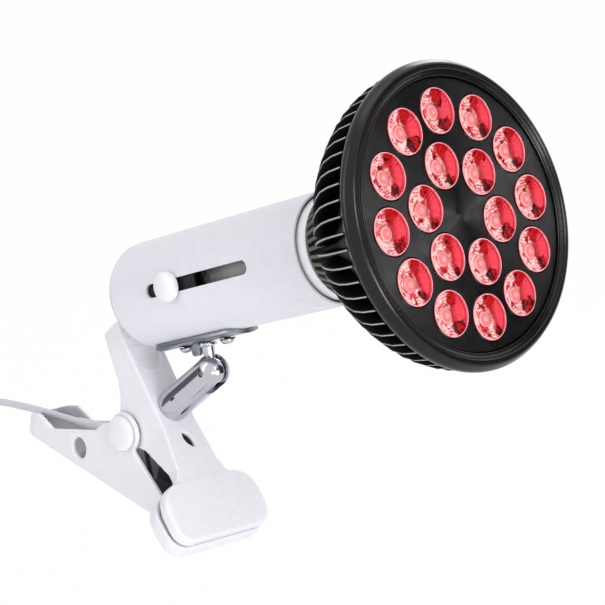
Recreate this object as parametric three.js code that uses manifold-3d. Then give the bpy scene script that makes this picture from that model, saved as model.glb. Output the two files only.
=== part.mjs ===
// A clip-on lamp with a sliding bulb holder in a white tube, a chrome swivel and a red light bulb.
// Millimetres, +Z up. The origin is the middle of the front jaw pad's gripping face,
// +X is the way the bulb looks, and the lamp is alike on both sides of the XZ plane.
import * as THREE from "three";
import { mergeVertices } from "three/addons/utils/BufferGeometryUtils.js";
import Module from "manifold-3d";

const wasm = await Module();
wasm.setup();

// Clearances
const gap = 0.3; // between pieces that touch
const cutOver = 3; // overrun of every cut
const weld = 0.0001; // vertices nearer than this are one

// Angles in degrees
const leverLean = 53; // the front lever's length below +X
const rearLean = 12.6; // the rear lever's underside below +X
const jawWedge = 8; // the closed jaws open this much towards the pivot
const shadeRise = 17; // the tube's axis above +X

// Front lever
const handleReach = 97; // jaw centre to the handle's end
const leverDepth = 24.2; // lever face to the pivot
const faceHeight = 5.6; // lever face above the pad's gripping face
const leverHalfTop = 10;
const leverHalfPivot = 9.8;
const leverHalfJaw = 12;
const leverHalfRoot = 15;
const leverWall = 2.2;
const faceWall = 2.6;
const pivotBack = 50; // jaw centre to the pivot, along the lever
const barrelBack = 49.2; // jaw centre to the swivel's axis, along the lever
const frontEarRadius = 9;
const leafBack = 32.4;
const leafLength = 9;
const leafWidth = 4.2;
const leafAside = 1;
const scoopEnd = 68; // jaw centre to the finger scoop's lower end
const scoopHalf = 6.6;
const scoopDepth = 1.3;
const scoopMargin = 6;
const ridgeCount = 5;
const ridgePitch = 2.6;
const ridgeWidth = 1.1;
const ridgeHeight = 0.8;

// Jaw shoes and pads
const shoeLength = 28;
const shoeWidth = 54;
const shoeBackRadius = 12;
const shoeTipRadius = 8;
const shoeCrown = 0.8; // front shoe above the lever face
const rearShoeThick = 8;
const shoeRim = 2.4;
const padThick = 2.6;
const rimShy = 0.2; // rims stand this far behind the gripping faces
const jawShift = 1; // rear shoe's centre past the front one's, along the lever
const jawGap = 0.45; // between the pads at the jaw's tip

// Rear lever, from its pivot
const rearReach = 74.5; // pivot to the handle's tip
const rearDrop = 29.3; // pivot to the underside
const rearArm = 48.5; // pivot to the shoe's centre along the underside
const rearHalf = 12.6;
const rearWall = 2.3;
const rearFloor = 2.4;
const rearEarRadius = 9.7;
const rearTipRadius = 11;
const sideHoleBack = 29.3;
const sideHoleDrop = 20.3;
const sideHoleRadius = 5;

// Pivot
const pinRadius = 2;
const pinSlack = 0.2;
const capRadius = 8.1;
const capThick = 2.6;
const capDome = 0.5;

// Torsion spring
const wireRadius = 1;
const curlRadius = 5.6;
const curlPitch = 2.5;
const curlTurns = 4.75;
const curlDegrees = -30; // where the first leg meets the curls
const curlSteps = 8;
const curlSides = 5;
const legReach = 32; // pivot to the second leg's end, along the front lever
const legDrop = 5.9;
const hookEnd = 7;

// Swivel
const barrelRadius = 7.5;
const knuckleHeight = 35; // lever face to the knuckle's pin
const barrelBore = 4.4;
const slotBelowPin = 7.6;
const slotHalf = 2.7;
const boltRadius = 3;
const boltBore = 1.8;
const boltFlange = 5.6;
const boltFlangeThick = 1.6;
const boltRise = 9;
const knucklePinRadius = 1.6;
const barrelSlitLength = 3.2;
const barrelSlitWidth = 1;
const barrelSlitHeight = 9;

// Tube and its bracket, from the knuckle's pin along the tube
const tubeRadius = 24;
const tubeWall = 1.2;
const tubeBack = 34.8;
const tubeFront = 92.7;
const tubeRound = 6.5;
const slotFromBack = 30; // tube's rear end to the slot's rear end
const slotLength = 67.2;
const slotWidth = 6;
const saddleThick = 1.8;
const saddleLength = 57;
const saddleHalfAngle = 21; // degrees
const lugLength = 5.6;
const lugThick = 1.5;
const lugDrop = 5.2;
const lugBack = 10.6;
const screwSpacing = 28;
const screwHeadRadius = 3.3;
const screwHeadThick = 2.2;
const screwRadius = 1.7;
const eyeRadius = 5.8;
const studRadius = 2.4;
const studFlangeRadius = 4.4;
const studFlangeThick = 1.5;
const studRise = 3.6; // knuckle's dome to the stud's flange
const nutRadius = 4.4;
const nutThick = 2.6;
const threadPast = 1; // screw ends past the nut or the wall's nut

// Bulb holder on its slide
const knobPlace = 11.5; // knuckle's pin to the knob, along the tube
const knobRadius = 6.6;
const knobThick = 4.2;
const knobEdge = 1.4;
const shankRadius = 2.4;
const slideLength = 35;
const slideBack = 19.8; // knob to the slide plate's rear end
const slideThick = 1.2;
const slideHalfAngle = 20; // degrees
const socketClear = 4.8; // socket to the inside of the tube
const socketRadius = tubeRadius - tubeWall - socketClear;
const socketBodyLength = 19;
const socketBack = 7.8; // knob to the socket's rear face
const bossRadius = 5.5;
const skirtLength = 32.7;
const skirtWall = 3.2;
const shellWall = 0.6;
const contactRadius = 4;
const contactThick = 2.6;

// Bulb, from the plane of its lens tops back along the axis
const bulbReach = 163.7; // knuckle's pin to the lens plane, along the tube
const bulbRadius = 60.5;
const bezelFront = 1.5;
const bezelLength = 16;
const bezelWidth = 7.5;
const bezelLip = 3.1; // bezel's inner wall beside the heat sink
const plateThick = 2;
const plateBack = 0.8; // face plate's front behind the lens plane
const ringShares = [0.767, 0.385]; // radii of the rings of 12 and of 6 lenses, in the face plate's
const lensShare = 0.18; // radius of a lens, in the face plate's
const outerCount = 12;
const innerCount = 6;
const outerPhase = 3.6; // degrees from +Y towards the top
const innerPhase = 48.3;
const footShare = 0.55; // a lens's foot, in its radius
const lensSides = 12;
const boardThick = 1.6;
const chipRadius = 2.6;
const chipHeight = 0.9;
const sinkFront = 8; // lens plane to the heat sink's front face
const sinkBack = 66; // lens plane to the heat sink's rear face
const sinkFlange = 5.5;
const sinkNeckRadius = 20.8;
const sinkBore = 16.5;
const sinkSeat = 12; // metal left in front of the driver's bore
const finCount = 44;
const finThick = 1.3;
const finStep = 57.5; // lens plane to the step between the two rows of fins
const collarClear = 1.6; // collar to the inside of the tube
const collarRadius = tubeRadius - tubeWall - collarClear;
const collarWall = 2;
const collarFlare = 20; // length of the collar's cylinder in front of its flare
const spigotLength = 10;
const capClear = 0.7; // cap to the inside of the socket's shell
const capShellRadius = socketRadius - skirtWall - gap - shellWall - capClear;
const capShellWall = 0.7;
const capShellLength = 22;
const threadDepth = 0.7;
const threadPitch = 3.63;
const insulatorLength = 4;
const insulatorFace = 6;
const tipRadius = 4.6;
const tipThick = 2;
const driverThick = 1.6;
const driverLength = 52;
const driverTall = 5;

// Cord and what is on it
const cordRadius = 1.8;
const cordHeight = 22.7; // above the origin where it leaves the handle
const reliefLength = 25;
const reliefShare = 0.4; // of it, up to the rib that holds it
const reliefRadius = 3.6;
const reliefTip = 2.7;
const reliefStart = 69; // origin to the relief's inner end, along -X
const ribThick = 1.8;
const leadReach = 90.5; // relief to the switch, along -X
const leadFall = 34.7; // down to the switch
const switchLength = 52;
const switchWidth = 19;
const switchDepth = 14;
const switchCorner = 5;
const rockerLength = 15;
const rockerWidth = 8;
const rockerDepth = 4.5;
const rockerProud = 1.6;
const rockerTilt = 9; // degrees, half of its travel
const tailReach = 21.4; // switch's middle to the coil's start, along -X
const tailFall = 21.4; // down from the switch
const coilInner = 15.2;
const coilPitch = 4.15;
const coilLayers = 4;
const coilTurnsALayer = 2.5625;
const coilStepsATurn = 24;
const coilSides = 6;
const coilStraight = 3.6;
const coilDrop = 29; // straight stretch from the coil down to the plug
const tieWall = 1;
const tieLength = 6;
const tieDegrees = 125; // its place round the coil
const plugLength = 32;
const plugWidth = 24;
const plugDepth = 15;
const plugNeck = 5;
const bladeLength = 17;
const bladeWidth = 6.3;
const bladeThick = 1.5;
const bladeSpacing = 12.7;

// Finishes
const finishes = {
  white: { color: 0xf1f0f4, roughness: 0.35, metalness: 0 },
  paint: { color: 0xe9e8ee, roughness: 0.45, metalness: 0 },
  pad: { color: 0xdcdce2, roughness: 0.8, metalness: 0 },
  chrome: { color: 0xd8d8dc, roughness: 0.12, metalness: 1 },
  steel: { color: 0x8d8f96, roughness: 0.4, metalness: 1 },
  springSteel: { color: 0x17171a, roughness: 0.4, metalness: 0.7 },
  brass: { color: 0xb08d48, roughness: 0.35, metalness: 1 },
  black: { color: 0x101012, roughness: 0.5, metalness: 0 },
  anodised: { color: 0x141416, roughness: 0.38, metalness: 0.6 },
  porcelain: { color: 0xe4e4e2, roughness: 0.3, metalness: 0 },
  lens: { color: 0xe01020, roughness: 0.08, metalness: 0 },
  board: { color: 0xdedede, roughness: 0.5, metalness: 0.2 },
  driver: { color: 0x1f5a33, roughness: 0.6, metalness: 0 },
};

const radians = THREE.MathUtils.degToRad;
const point = (x, y) => new THREE.Vector2(x, y);
const place = (x, y, z) => new THREE.Vector3(x, y, z);

// Turns a closed three.js geometry into a solid, with its faces pointing out.
function solidOf(geometry) {
  const bare = new THREE.BufferGeometry();
  bare.setAttribute("position", geometry.getAttribute("position").clone());
  if (geometry.index) bare.setIndex(geometry.index.clone());
  const merged = mergeVertices(bare, weld);
  const at = merged.getAttribute("position");
  const index = merged.index.array;
  const corner = [place(0, 0, 0), place(0, 0, 0), place(0, 0, 0)];
  const kept = [];
  let volume = 0;
  for (let i = 0; i < index.length; i += 3) {
    const [a, b, c] = [index[i], index[i + 1], index[i + 2]];
    if (a === b || b === c || c === a) continue;
    kept.push(a, b, c);
    corner.forEach((v, k) => v.fromBufferAttribute(at, index[i + k]));
    volume += corner[0].dot(corner[1].clone().cross(corner[2]));
  }
  if (volume < 0) {
    for (let i = 0; i < kept.length; i += 3) [kept[i], kept[i + 1]] = [kept[i + 1], kept[i]];
  }
  return new wasm.Manifold(
    new wasm.Mesh({
      numProp: 3,
      vertProperties: new Float32Array(at.array),
      triVerts: new Uint32Array(kept),
    }),
  );
}

function geometryOf(solid) {
  const mesh = solid.getMesh();
  const geometry = new THREE.BufferGeometry();
  geometry.setAttribute("position", new THREE.BufferAttribute(new Float32Array(mesh.vertProperties), 3));
  geometry.setIndex(new THREE.BufferAttribute(new Uint32Array(mesh.triVerts), 1));
  geometry.computeVertexNormals();
  return geometry;
}

function moved(geometry, x, y, z) {
  return geometry.translate(x, y, z);
}

function pushed(shape, depth, curveSegments) {
  return new THREE.ExtrudeGeometry(shape, { depth, bevelEnabled: false, curveSegments });
}

// A flat outline of [x, z] points, pushed along Y from low to high.
function slabAlongY(outline, low, high) {
  const shape = outline instanceof THREE.Shape ? outline : new THREE.Shape(outline);
  const geometry = pushed(shape, high - low, 8);
  geometry.rotateX(Math.PI / 2);
  return solidOf(moved(geometry, 0, high, 0));
}

// A flat outline of [x, y] points, pushed along Z from low to high.
function slabAlongZ(outline, low, high, curveSegments = 6) {
  const shape = outline instanceof THREE.Shape ? outline : new THREE.Shape(outline);
  const geometry = pushed(shape, high - low, curveSegments);
  return solidOf(moved(geometry, 0, 0, low));
}

// A flat outline of [y, z] points, pushed along X from low to high.
function slabAlongX(outline, low, high) {
  const shape = outline instanceof THREE.Shape ? outline : new THREE.Shape(outline);
  const geometry = pushed(shape, high - low, 10);
  const turn = new THREE.Matrix4().makeBasis(place(0, 1, 0), place(0, 0, 1), place(1, 0, 0));
  return solidOf(moved(geometry.applyMatrix4(turn), low, 0, 0));
}

// A round bar between two places.
function bar(from, to, radius, sides = 20) {
  const along = to.clone().sub(from);
  const geometry = new THREE.CylinderGeometry(radius, radius, along.length(), sides);
  const turn = new THREE.Quaternion().setFromUnitVectors(place(0, 1, 0), along.clone().normalize());
  geometry.applyQuaternion(turn);
  const middle = from.clone().add(to).multiplyScalar(0.5);
  return solidOf(moved(geometry, middle.x, middle.y, middle.z));
}

// A round bar across the lamp, or up it.
function barAcross(x, z, half, radius, sides) {
  return bar(place(x, -half, z), place(x, half, z), radius, sides);
}

function barUp(x, low, high, radius, sides) {
  return bar(place(x, 0, low), place(x, 0, high), radius, sides);
}

function block(low, high) {
  const size = high.clone().sub(low);
  const middle = low.clone().add(high).multiplyScalar(0.5);
  return solidOf(moved(new THREE.BoxGeometry(size.x, size.y, size.z), middle.x, middle.y, middle.z));
}

// A profile of [along, radius] points turned about the X axis, at a height above it.
function turnedAlongX(profile, sides, height = 0) {
  const geometry = new THREE.LatheGeometry(profile.map(([along, radius]) => point(radius, along)), sides);
  geometry.rotateZ(-Math.PI / 2);
  return solidOf(moved(geometry, 0, 0, height));
}

function discAlongX(low, high, radius, sides, height = 0) {
  return turnedAlongX([[low, 0], [low, radius], [high, radius], [high, 0]], sides, height);
}

function ringAlongX(low, high, inner, outer, sides, height = 0) {
  const profile = [[low, inner], [low, outer], [high, outer], [high, inner], [low, inner]];
  return turnedAlongX(profile, sides, height);
}

// A profile of [along, radius] points turned about the Z axis through a place.
function turnedAlongZ(profile, sides, x = 0) {
  const geometry = new THREE.LatheGeometry(profile.map(([along, radius]) => point(radius, along)), sides);
  geometry.rotateX(Math.PI / 2);
  return solidOf(moved(geometry, x, 0, 0));
}

// A profile of [along, radius] points turned about the Y axis through a place.
function turnedAlongY(profile, sides, x, z) {
  const geometry = new THREE.LatheGeometry(profile.map(([along, radius]) => point(radius, along)), sides);
  return solidOf(moved(geometry, x, 0, z));
}

// A tube of even thickness through places, with flat ends, from one unbroken row of rings.
function wireThrough(places, radius, sides) {
  const positions = [];
  const index = [];
  const last = places.length - 1;
  const ahead = places.map((p, i) => {
    const after = places[Math.min(i + 1, last)];
    return after.clone().sub(places[Math.max(i - 1, 0)]).normalize();
  });
  let normal = place(0, 1, 0).cross(ahead[0]);
  if (normal.length() < 0.1) normal = place(0, 0, 1).cross(ahead[0]);
  normal.normalize();
  places.forEach((p, i) => {
    normal = normal.clone().addScaledVector(ahead[i], -normal.dot(ahead[i])).normalize();
    const side = ahead[i].clone().cross(normal);
    for (let k = 0; k < sides; k += 1) {
      const angle = (2 * Math.PI * k) / sides;
      const spot = p.clone().addScaledVector(normal, radius * Math.cos(angle));
      spot.addScaledVector(side, radius * Math.sin(angle));
      positions.push(spot.x, spot.y, spot.z);
    }
  });
  for (let i = 0; i < last; i += 1) {
    for (let k = 0; k < sides; k += 1) {
      const [a, b] = [i * sides + k, i * sides + ((k + 1) % sides)];
      index.push(a, b, a + sides, b, b + sides, a + sides);
    }
  }
  for (let k = 1; k < sides - 1; k += 1) {
    index.push(0, k + 1, k);
    index.push(last * sides, last * sides + k, last * sides + k + 1);
  }
  const geometry = new THREE.BufferGeometry();
  geometry.setAttribute("position", new THREE.BufferAttribute(new Float32Array(positions), 3));
  geometry.setIndex(index);
  return solidOf(geometry);
}

// The least clear space between stretches of a winding that are not neighbours.
function leastGap(places, radius, apart) {
  let least = Infinity;
  for (let i = 0; i < places.length; i += 1) {
    for (let k = i + apart; k < places.length; k += 1) least = Math.min(least, places[i].distanceTo(places[k]));
  }
  return least - 2 * radius;
}

function piece(name, finish, solid, parent) {
  const mesh = new THREE.Mesh(geometryOf(solid), new THREE.MeshStandardMaterial(finishes[finish]));
  mesh.name = name;
  parent.add(mesh);
  return mesh;
}

// Outline points as shares of a length and a depth, counted from a place.
function outlineOf(shares, length, depth, fromX = 0, fromZ = 0) {
  return shares.map(([along, down]) => point(fromX + along * length, fromZ + down * depth));
}

// The jaw shoe's plan, shrunk all round by an inset.
function shoePlan(inset) {
  const x = shoeLength / 2 - inset;
  const y = shoeWidth / 2 - inset;
  const back = Math.max(shoeBackRadius - inset, gap);
  const tip = Math.max(shoeTipRadius - inset, gap);
  const plan = new THREE.Shape();
  plan.absarc(x - tip, y - tip, tip, 0, Math.PI / 2);
  plan.absarc(-x + back, y - back, back, Math.PI / 2, Math.PI);
  plan.absarc(-x + back, -y + back, back, Math.PI, 1.5 * Math.PI);
  plan.absarc(x - tip, -y + tip, tip, 1.5 * Math.PI, 2 * Math.PI);
  return plan;
}

const lamp = new THREE.Group();
const clip = new THREE.Group(); // X runs down the front lever to the jaw, Z out of its face
clip.rotation.y = radians(leverLean);
lamp.add(clip);

const pivotHeight = faceHeight - leverDepth;

// Front lever: a channel with a face, two side walls, two ears and the jaw shoe
const frontSideShares = [
  [0, 0], [-0.94, 0], [-0.975, -0.05], [-0.995, -0.16], [-1, -0.32], [-0.985, -0.5], [-0.89, -0.55],
  [-0.75, -0.66], [-0.665, -0.82], [-0.6, -1.08], [-0.47, -1.2], [-0.44, -1.05], [-0.385, -0.76],
  [-0.16, -0.22], [0, -0.22],
];
const frontPlanShares = [[1, 0], [0.97, 0.6], [0.9, 1]];

function leverPlan(inset) {
  const [end, shoulder, full] = frontPlanShares.map(([share]) => -share * (handleReach - inset));
  const half = [
    [end, leverHalfTop * frontPlanShares[0][1] + leverHalfTop / 2 - inset],
    [shoulder, leverHalfTop * frontPlanShares[1][1] + leverHalfTop / 3 - inset],
    [full, leverHalfTop - inset],
    [-pivotBack, leverHalfPivot - inset],
    [-pivotBack + frontEarRadius + gap, leverHalfPivot - inset],
    [-shoeLength * 0.72, leverHalfJaw - inset],
    [-shoeLength / 2, leverHalfRoot - inset],
    [0, leverHalfRoot - inset],
  ];
  const near = half.map(([x, y]) => point(x, -y));
  const far = half.map(([x, y]) => point(x, y)).reverse();
  return [...near, ...far];
}

function ridges() {
  let all = null;
  for (let i = 0; i < ridgeCount; i += 1) {
    const x = -handleReach + scoopMargin + cutOver + i * ridgePitch;
    const low = place(x, -scoopHalf - gap, faceHeight - scoopDepth - gap);
    const high = place(x + ridgeWidth, scoopHalf + gap, faceHeight - scoopDepth + ridgeHeight);
    all = all ? all.add(block(low, high)) : block(low, high);
  }
  return all;
}

function makeFrontLever() {
  const side = outlineOf(frontSideShares, handleReach, leverDepth, 0, faceHeight);
  const wide = leverHalfRoot + cutOver;
  let body = slabAlongY(side, -wide, wide);
  body = body.add(barAcross(-pivotBack, pivotHeight, wide, frontEarRadius, 28));
  body = body.intersect(slabAlongZ(leverPlan(0), pivotHeight - leverDepth, faceHeight + cutOver));
  const hollowEnd = -shoeLength / 2 - leverWall;
  const hollow = slabAlongZ(leverPlan(leverWall), pivotHeight - leverDepth, faceHeight - faceWall);
  const kept = block(
    place(hollowEnd, -wide, pivotHeight - leverDepth - cutOver),
    place(cutOver, wide, faceHeight + cutOver),
  );
  body = body.subtract(hollow.subtract(kept));
  const scoop = new THREE.Shape();
  const scoopX = -scoopEnd - scoopHalf;
  scoop.moveTo(-handleReach + scoopMargin, -scoopHalf);
  scoop.lineTo(scoopX, -scoopHalf);
  scoop.absarc(scoopX, 0, scoopHalf, -Math.PI / 2, Math.PI / 2);
  scoop.lineTo(-handleReach + scoopMargin, scoopHalf);
  body = body.subtract(slabAlongZ(scoop, faceHeight - scoopDepth, faceHeight + cutOver, 10));
  body = body.add(ridges());
  const leaf = new THREE.Shape();
  const [leafLow, leafHigh] = [-leafBack - leafLength / 2, -leafBack + leafLength / 2];
  leaf.moveTo(leafLow, leafAside - leafWidth / 3);
  leaf.quadraticCurveTo(-leafBack, leafAside - leafWidth, leafHigh, leafAside + leafWidth / 3);
  leaf.quadraticCurveTo(-leafBack, leafAside + leafWidth, leafLow, leafAside - leafWidth / 3);
  body = body.subtract(slabAlongZ(leaf, faceHeight - faceWall - cutOver, faceHeight + cutOver, 5));
  const faceBack = faceHeight - faceWall;
  body = body.subtract(barUp(-barrelBack, faceBack - cutOver, faceHeight + cutOver, boltRadius + gap, 20));
  body = body.add(slabAlongZ(shoePlan(0), rimShy, faceHeight + shoeCrown));
  body = body.subtract(slabAlongZ(shoePlan(shoeRim), -cutOver, padThick + gap));
  return body.subtract(barAcross(-pivotBack, pivotHeight, wide, pinRadius + pinSlack, 20));
}

piece("front_lever", "white", makeFrontLever(), clip);
piece("front_pad", "pad", slabAlongZ(shoePlan(shoeRim + gap), 0, padThick), clip);

// Pivot pin with its two caps
const capInner = rearHalf + gap;
const pinEnd = capInner + capThick / 2;
piece("pivot_pin", "steel", barAcross(-pivotBack, pivotHeight, pinEnd, pinRadius, 20), clip);
for (const [name, side] of [["pivot_cap_near", -1], ["pivot_cap_far", 1]]) {
  const profile = [
    [side * capInner, pinRadius + pinSlack],
    [side * capInner, capRadius],
    [side * (capInner + capThick - capDome), capRadius],
    [side * (capInner + capThick), capRadius * 0.86],
    [side * (capInner + capThick + capDome), 0],
    [side * (pinEnd + gap), 0],
    [side * (pinEnd + gap), pinRadius + pinSlack],
    [side * capInner, pinRadius + pinSlack],
  ];
  piece(name, "white", turnedAlongY(profile, 20, -pivotBack, pivotHeight), clip);
}

// Torsion spring: its curls lie round the pin, one leg hooks in the front lever's leaf-shaped hole
// and the other ends across the throat, on the floor of the rear lever's channel
function springPlaces() {
  const places = [];
  const half = (curlTurns * curlPitch) / 2;
  const steps = Math.round(curlTurns * curlSteps);
  for (let i = 0; i <= steps; i += 1) {
    const share = i / steps;
    const angle = radians(curlDegrees) - share * curlTurns * 2 * Math.PI;
    const x = -pivotBack + curlRadius * Math.cos(angle);
    const z = pivotHeight + curlRadius * Math.sin(angle);
    places.push(place(x, half - share * 2 * half, z));
  }
  const tip = place(-leafBack + wireRadius, leafAside, faceHeight - faceWall / 2);
  const bend = place(-leafBack - wireRadius, leafAside, faceHeight - faceWall - 3 * wireRadius);
  const reach = place(-pivotBack + legReach, -half, pivotHeight - legDrop);
  const across = place(reach.x + wireRadius, hookEnd, reach.z);
  return [tip, bend, ...places, reach, across];
}
const springRoute = springPlaces();
piece("torsion_spring", "springSteel", wireThrough(springRoute, wireRadius, curlSides), clip);

// Rear lever, drawn from its pivot with X along its underside towards the jaw
const rear = new THREE.Group();
rear.position.set(-pivotBack, 0, pivotHeight);
rear.rotation.y = radians(rearLean - leverLean);
clip.add(rear);

const shoeTilt = leverLean - jawWedge - rearLean; // rear shoe below the rear lever's X
const tipLift = (shoeLength / 2) * Math.sin(radians(jawWedge));
const jawMiddle = place(jawShift, 0, -jawGap - tipLift)
  .sub(place(-pivotBack, 0, pivotHeight))
  .applyAxisAngle(place(0, 1, 0), radians(leverLean - rearLean));

const rearSideShares = [
  [-0.995, -0.99], [-0.83, -1.01], [0.3, -1], [0.55, -1], [0.62, -0.98], [0.62, -0.7], [0.4, -0.6],
  [0.1, -0.17], [-0.1, 0.1], [-0.21, -0.07], [-0.27, -0.25], [-0.68, -0.67], [-0.78, -0.6],
  [-0.84, -0.57], [-0.93, -0.66], [-1, -0.78],
];

function rearPlan(inset) {
  const plan = new THREE.Shape();
  const y = rearHalf - inset;
  const tip = -rearReach + inset;
  const radius = rearTipRadius - inset;
  plan.moveTo(rearArm, -y);
  plan.lineTo(rearArm, y);
  plan.absarc(tip + radius, y - radius, radius, Math.PI / 2, Math.PI);
  plan.absarc(tip + radius, -y + radius, radius, Math.PI, 1.5 * Math.PI);
  return plan;
}

function inShoePlace(solid) {
  return solid
    .rotate([0, shoeTilt, 0])
    .translate([jawMiddle.x, jawMiddle.y, jawMiddle.z]);
}

const reliefMiddle = -reliefStart - reliefShare * reliefLength;
// A place in the lamp's frame, seen from the rear lever's group
function fromRear(spot) {
  lamp.updateMatrixWorld(true);
  return rear.worldToLocal(spot.clone());
}

function makeRearLever() {
  const side = outlineOf(rearSideShares, rearReach, rearDrop);
  const wide = rearHalf + cutOver;
  let body = slabAlongY(side, -wide, wide);
  body = body.add(barAcross(0, 0, wide, rearEarRadius, 30));
  body = body.intersect(slabAlongZ(rearPlan(0), -2 * rearDrop, rearDrop, 8));
  const channelEnd = jawMiddle.x - shoeLength / 2 - rearWall;
  let channel = slabAlongZ(rearPlan(rearWall), -rearDrop + rearFloor, rearDrop, 8);
  const kept = block(place(channelEnd, -wide, -2 * rearDrop), place(2 * rearArm, wide, 2 * rearDrop));
  channel = channel.subtract(kept);
  body = body.subtract(channel);
  const rib = fromRear(place(reliefMiddle, 0, cordHeight));
  const holder = block(
    place(rib.x - ribThick / 2, -rearHalf + rearWall / 2, -rearDrop + rearFloor / 2),
    place(rib.x + ribThick / 2, rearHalf - rearWall / 2, rib.z),
  );
  const seatRadius = reliefRadius + 2 * gap;
  const seat = bar(place(rib.x - cutOver, 0, rib.z), place(rib.x + cutOver, 0, rib.z), seatRadius);
  body = body.add(holder.subtract(seat));
  body = body.add(inShoePlace(slabAlongZ(shoePlan(0), -rearShoeThick, -rimShy)));
  body = body.subtract(inShoePlace(slabAlongZ(shoePlan(shoeRim), -padThick - gap, cutOver)));
  const notch = fromRear(place(-reliefStart - reliefLength, 0, cordHeight));
  const notchEnd = fromRear(place(-reliefStart - 2 * rearReach, 0, cordHeight));
  body = body.subtract(bar(notch, notchEnd, cordRadius + 2 * gap, 12));
  body = body.subtract(barAcross(-sideHoleBack, -sideHoleDrop, wide, sideHoleRadius, 24));
  return body.subtract(barAcross(0, 0, wide, pinRadius + pinSlack, 20));
}

piece("rear_lever", "white", makeRearLever(), rear);
piece("rear_pad", "pad", inShoePlace(slabAlongZ(shoePlan(shoeRim + gap), -padThick, 0)), rear);

// Swivel on the lever's face
const pinHeight = faceHeight + knuckleHeight;

function makeBarrel() {
  const base = faceHeight + gap;
  const profile = [
    [base, 0],
    [base, barrelRadius - gap],
    [base + 2 * gap, barrelRadius],
    [pinHeight, barrelRadius],
  ];
  const domeSteps = 4;
  for (let i = 1; i <= domeSteps; i += 1) {
    const angle = (Math.PI / 2) * (i / domeSteps);
    const radius = i === domeSteps ? 0 : barrelRadius * Math.cos(angle);
    profile.push([pinHeight + barrelRadius * Math.sin(angle), radius]);
  }
  let body = turnedAlongZ(profile, 26, -barrelBack);
  const slotBottom = pinHeight - slotBelowPin;
  body = body.subtract(barUp(-barrelBack, base - cutOver, slotBottom + cutOver, barrelBore, 20));
  body = body.subtract(
    block(
      place(-barrelBack - barrelRadius - cutOver, -slotHalf, slotBottom),
      place(-barrelBack + barrelRadius + cutOver, slotHalf, pinHeight + 2 * barrelRadius),
    ),
  );
  body = body.subtract(
    block(
      place(-barrelBack, -barrelRadius - cutOver, base + barrelSlitHeight),
      place(-barrelBack + barrelSlitWidth, -barrelBore, base + barrelSlitHeight + barrelSlitLength),
    ),
  );
  const pinHole = knucklePinRadius + pinSlack;
  return body.subtract(barAcross(-barrelBack, pinHeight, barrelRadius + cutOver, pinHole, 16));
}
piece("swivel_barrel", "chrome", makeBarrel(), clip);

// Hollow bolt that holds the barrel from inside the lever
const boltFlangeTop = faceHeight - faceWall - gap;
const boltProfile = [
  [boltFlangeTop - boltFlangeThick, boltBore],
  [boltFlangeTop - boltFlangeThick, boltFlange],
  [boltFlangeTop, boltFlange],
  [boltFlangeTop, boltRadius],
  [faceHeight + 2 * gap, boltRadius],
  [faceHeight + 2 * gap, barrelBore - gap],
  [faceHeight + boltRise, barrelBore - gap],
  [faceHeight + boltRise, boltBore],
  [boltFlangeTop - boltFlangeThick, boltBore],
];
piece("swivel_bolt", "steel", turnedAlongZ(boltProfile, 16, -barrelBack), clip);
const pinHalf = barrelRadius - 2 * gap;
piece("knuckle_pin", "steel", barAcross(-barrelBack, pinHeight, pinHalf, knucklePinRadius, 16), clip);

// Head: everything that tilts about the knuckle's pin, drawn with X along the tube
const head = new THREE.Group();
head.position.set(-barrelBack, 0, pinHeight);
head.rotation.y = -radians(leverLean + shadeRise);
clip.add(head);

const saddleBottom = barrelRadius + studRise + studFlangeThick + gap;
const tubeBottom = saddleBottom + saddleThick + gap;
const axisHeight = tubeBottom + tubeRadius; // knuckle's pin to the tube's axis
const insideBottom = tubeBottom + tubeWall;

function makeStud() {
  const flat = slotHalf - gap;
  let body = barAcross(0, 0, flat, eyeRadius, 24);
  const flangeTop = saddleBottom - gap;
  body = body.add(barUp(0, eyeRadius / 2, insideBottom + nutThick + threadPast, studRadius, 20));
  body = body.add(barUp(0, flangeTop - studFlangeThick, flangeTop, studFlangeRadius, 24));
  return body.subtract(barAcross(0, 0, flat + cutOver, knucklePinRadius + pinSlack, 16));
}
piece("eye_stud", "chrome", makeStud(), head);

function hexNut(low) {
  const outline = [];
  for (let i = 0; i < 6; i += 1) {
    const angle = (Math.PI / 3) * i;
    outline.push(point(nutRadius * Math.cos(angle), nutRadius * Math.sin(angle)));
  }
  const nut = slabAlongZ(outline, low, low + nutThick);
  return nut.subtract(barUp(0, low - cutOver, low + nutThick + cutOver, studRadius + gap, 16));
}
piece("stud_nut", "steel", hexNut(insideBottom + 2 * gap), head);

// A ring sector round the tube's axis, between two angles from the given direction
function sector(inner, outer, middle, half, low, high) {
  const shape = new THREE.Shape();
  const [from, to] = [radians(middle - half), radians(middle + half)];
  shape.absarc(0, 0, outer, from, to, false);
  shape.absarc(0, 0, inner, to, from, true);
  return slabAlongX(shape, low, high).translate([0, 0, axisHeight]);
}

function makeSaddle() {
  const inner = tubeRadius + gap;
  let body = sector(inner, inner + saddleThick, -90, saddleHalfAngle, -saddleLength / 2, saddleLength / 2);
  const roundOff = (inner + saddleThick) * Math.sin(radians(saddleHalfAngle)) + gap;
  const plan = new THREE.Shape();
  const flat = saddleLength / 2 - roundOff / 2;
  plan.absellipse(flat, 0, roundOff / 2, roundOff, -Math.PI / 2, Math.PI / 2);
  plan.absellipse(-flat, 0, roundOff / 2, roundOff, Math.PI / 2, 1.5 * Math.PI);
  body = body.intersect(slabAlongZ(plan, 0, axisHeight, 8));
  const lug = block(
    place(-lugBack, -lugThick / 2, saddleBottom - lugDrop),
    place(-lugBack + lugLength, lugThick / 2, saddleBottom + gap),
  );
  body = body.add(lug);
  for (const x of [-screwSpacing / 2, 0, screwSpacing / 2]) {
    const radius = (x === 0 ? studRadius : screwRadius) + gap;
    body = body.subtract(barUp(x, 0, axisHeight, radius, 16));
  }
  return body;
}
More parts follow.
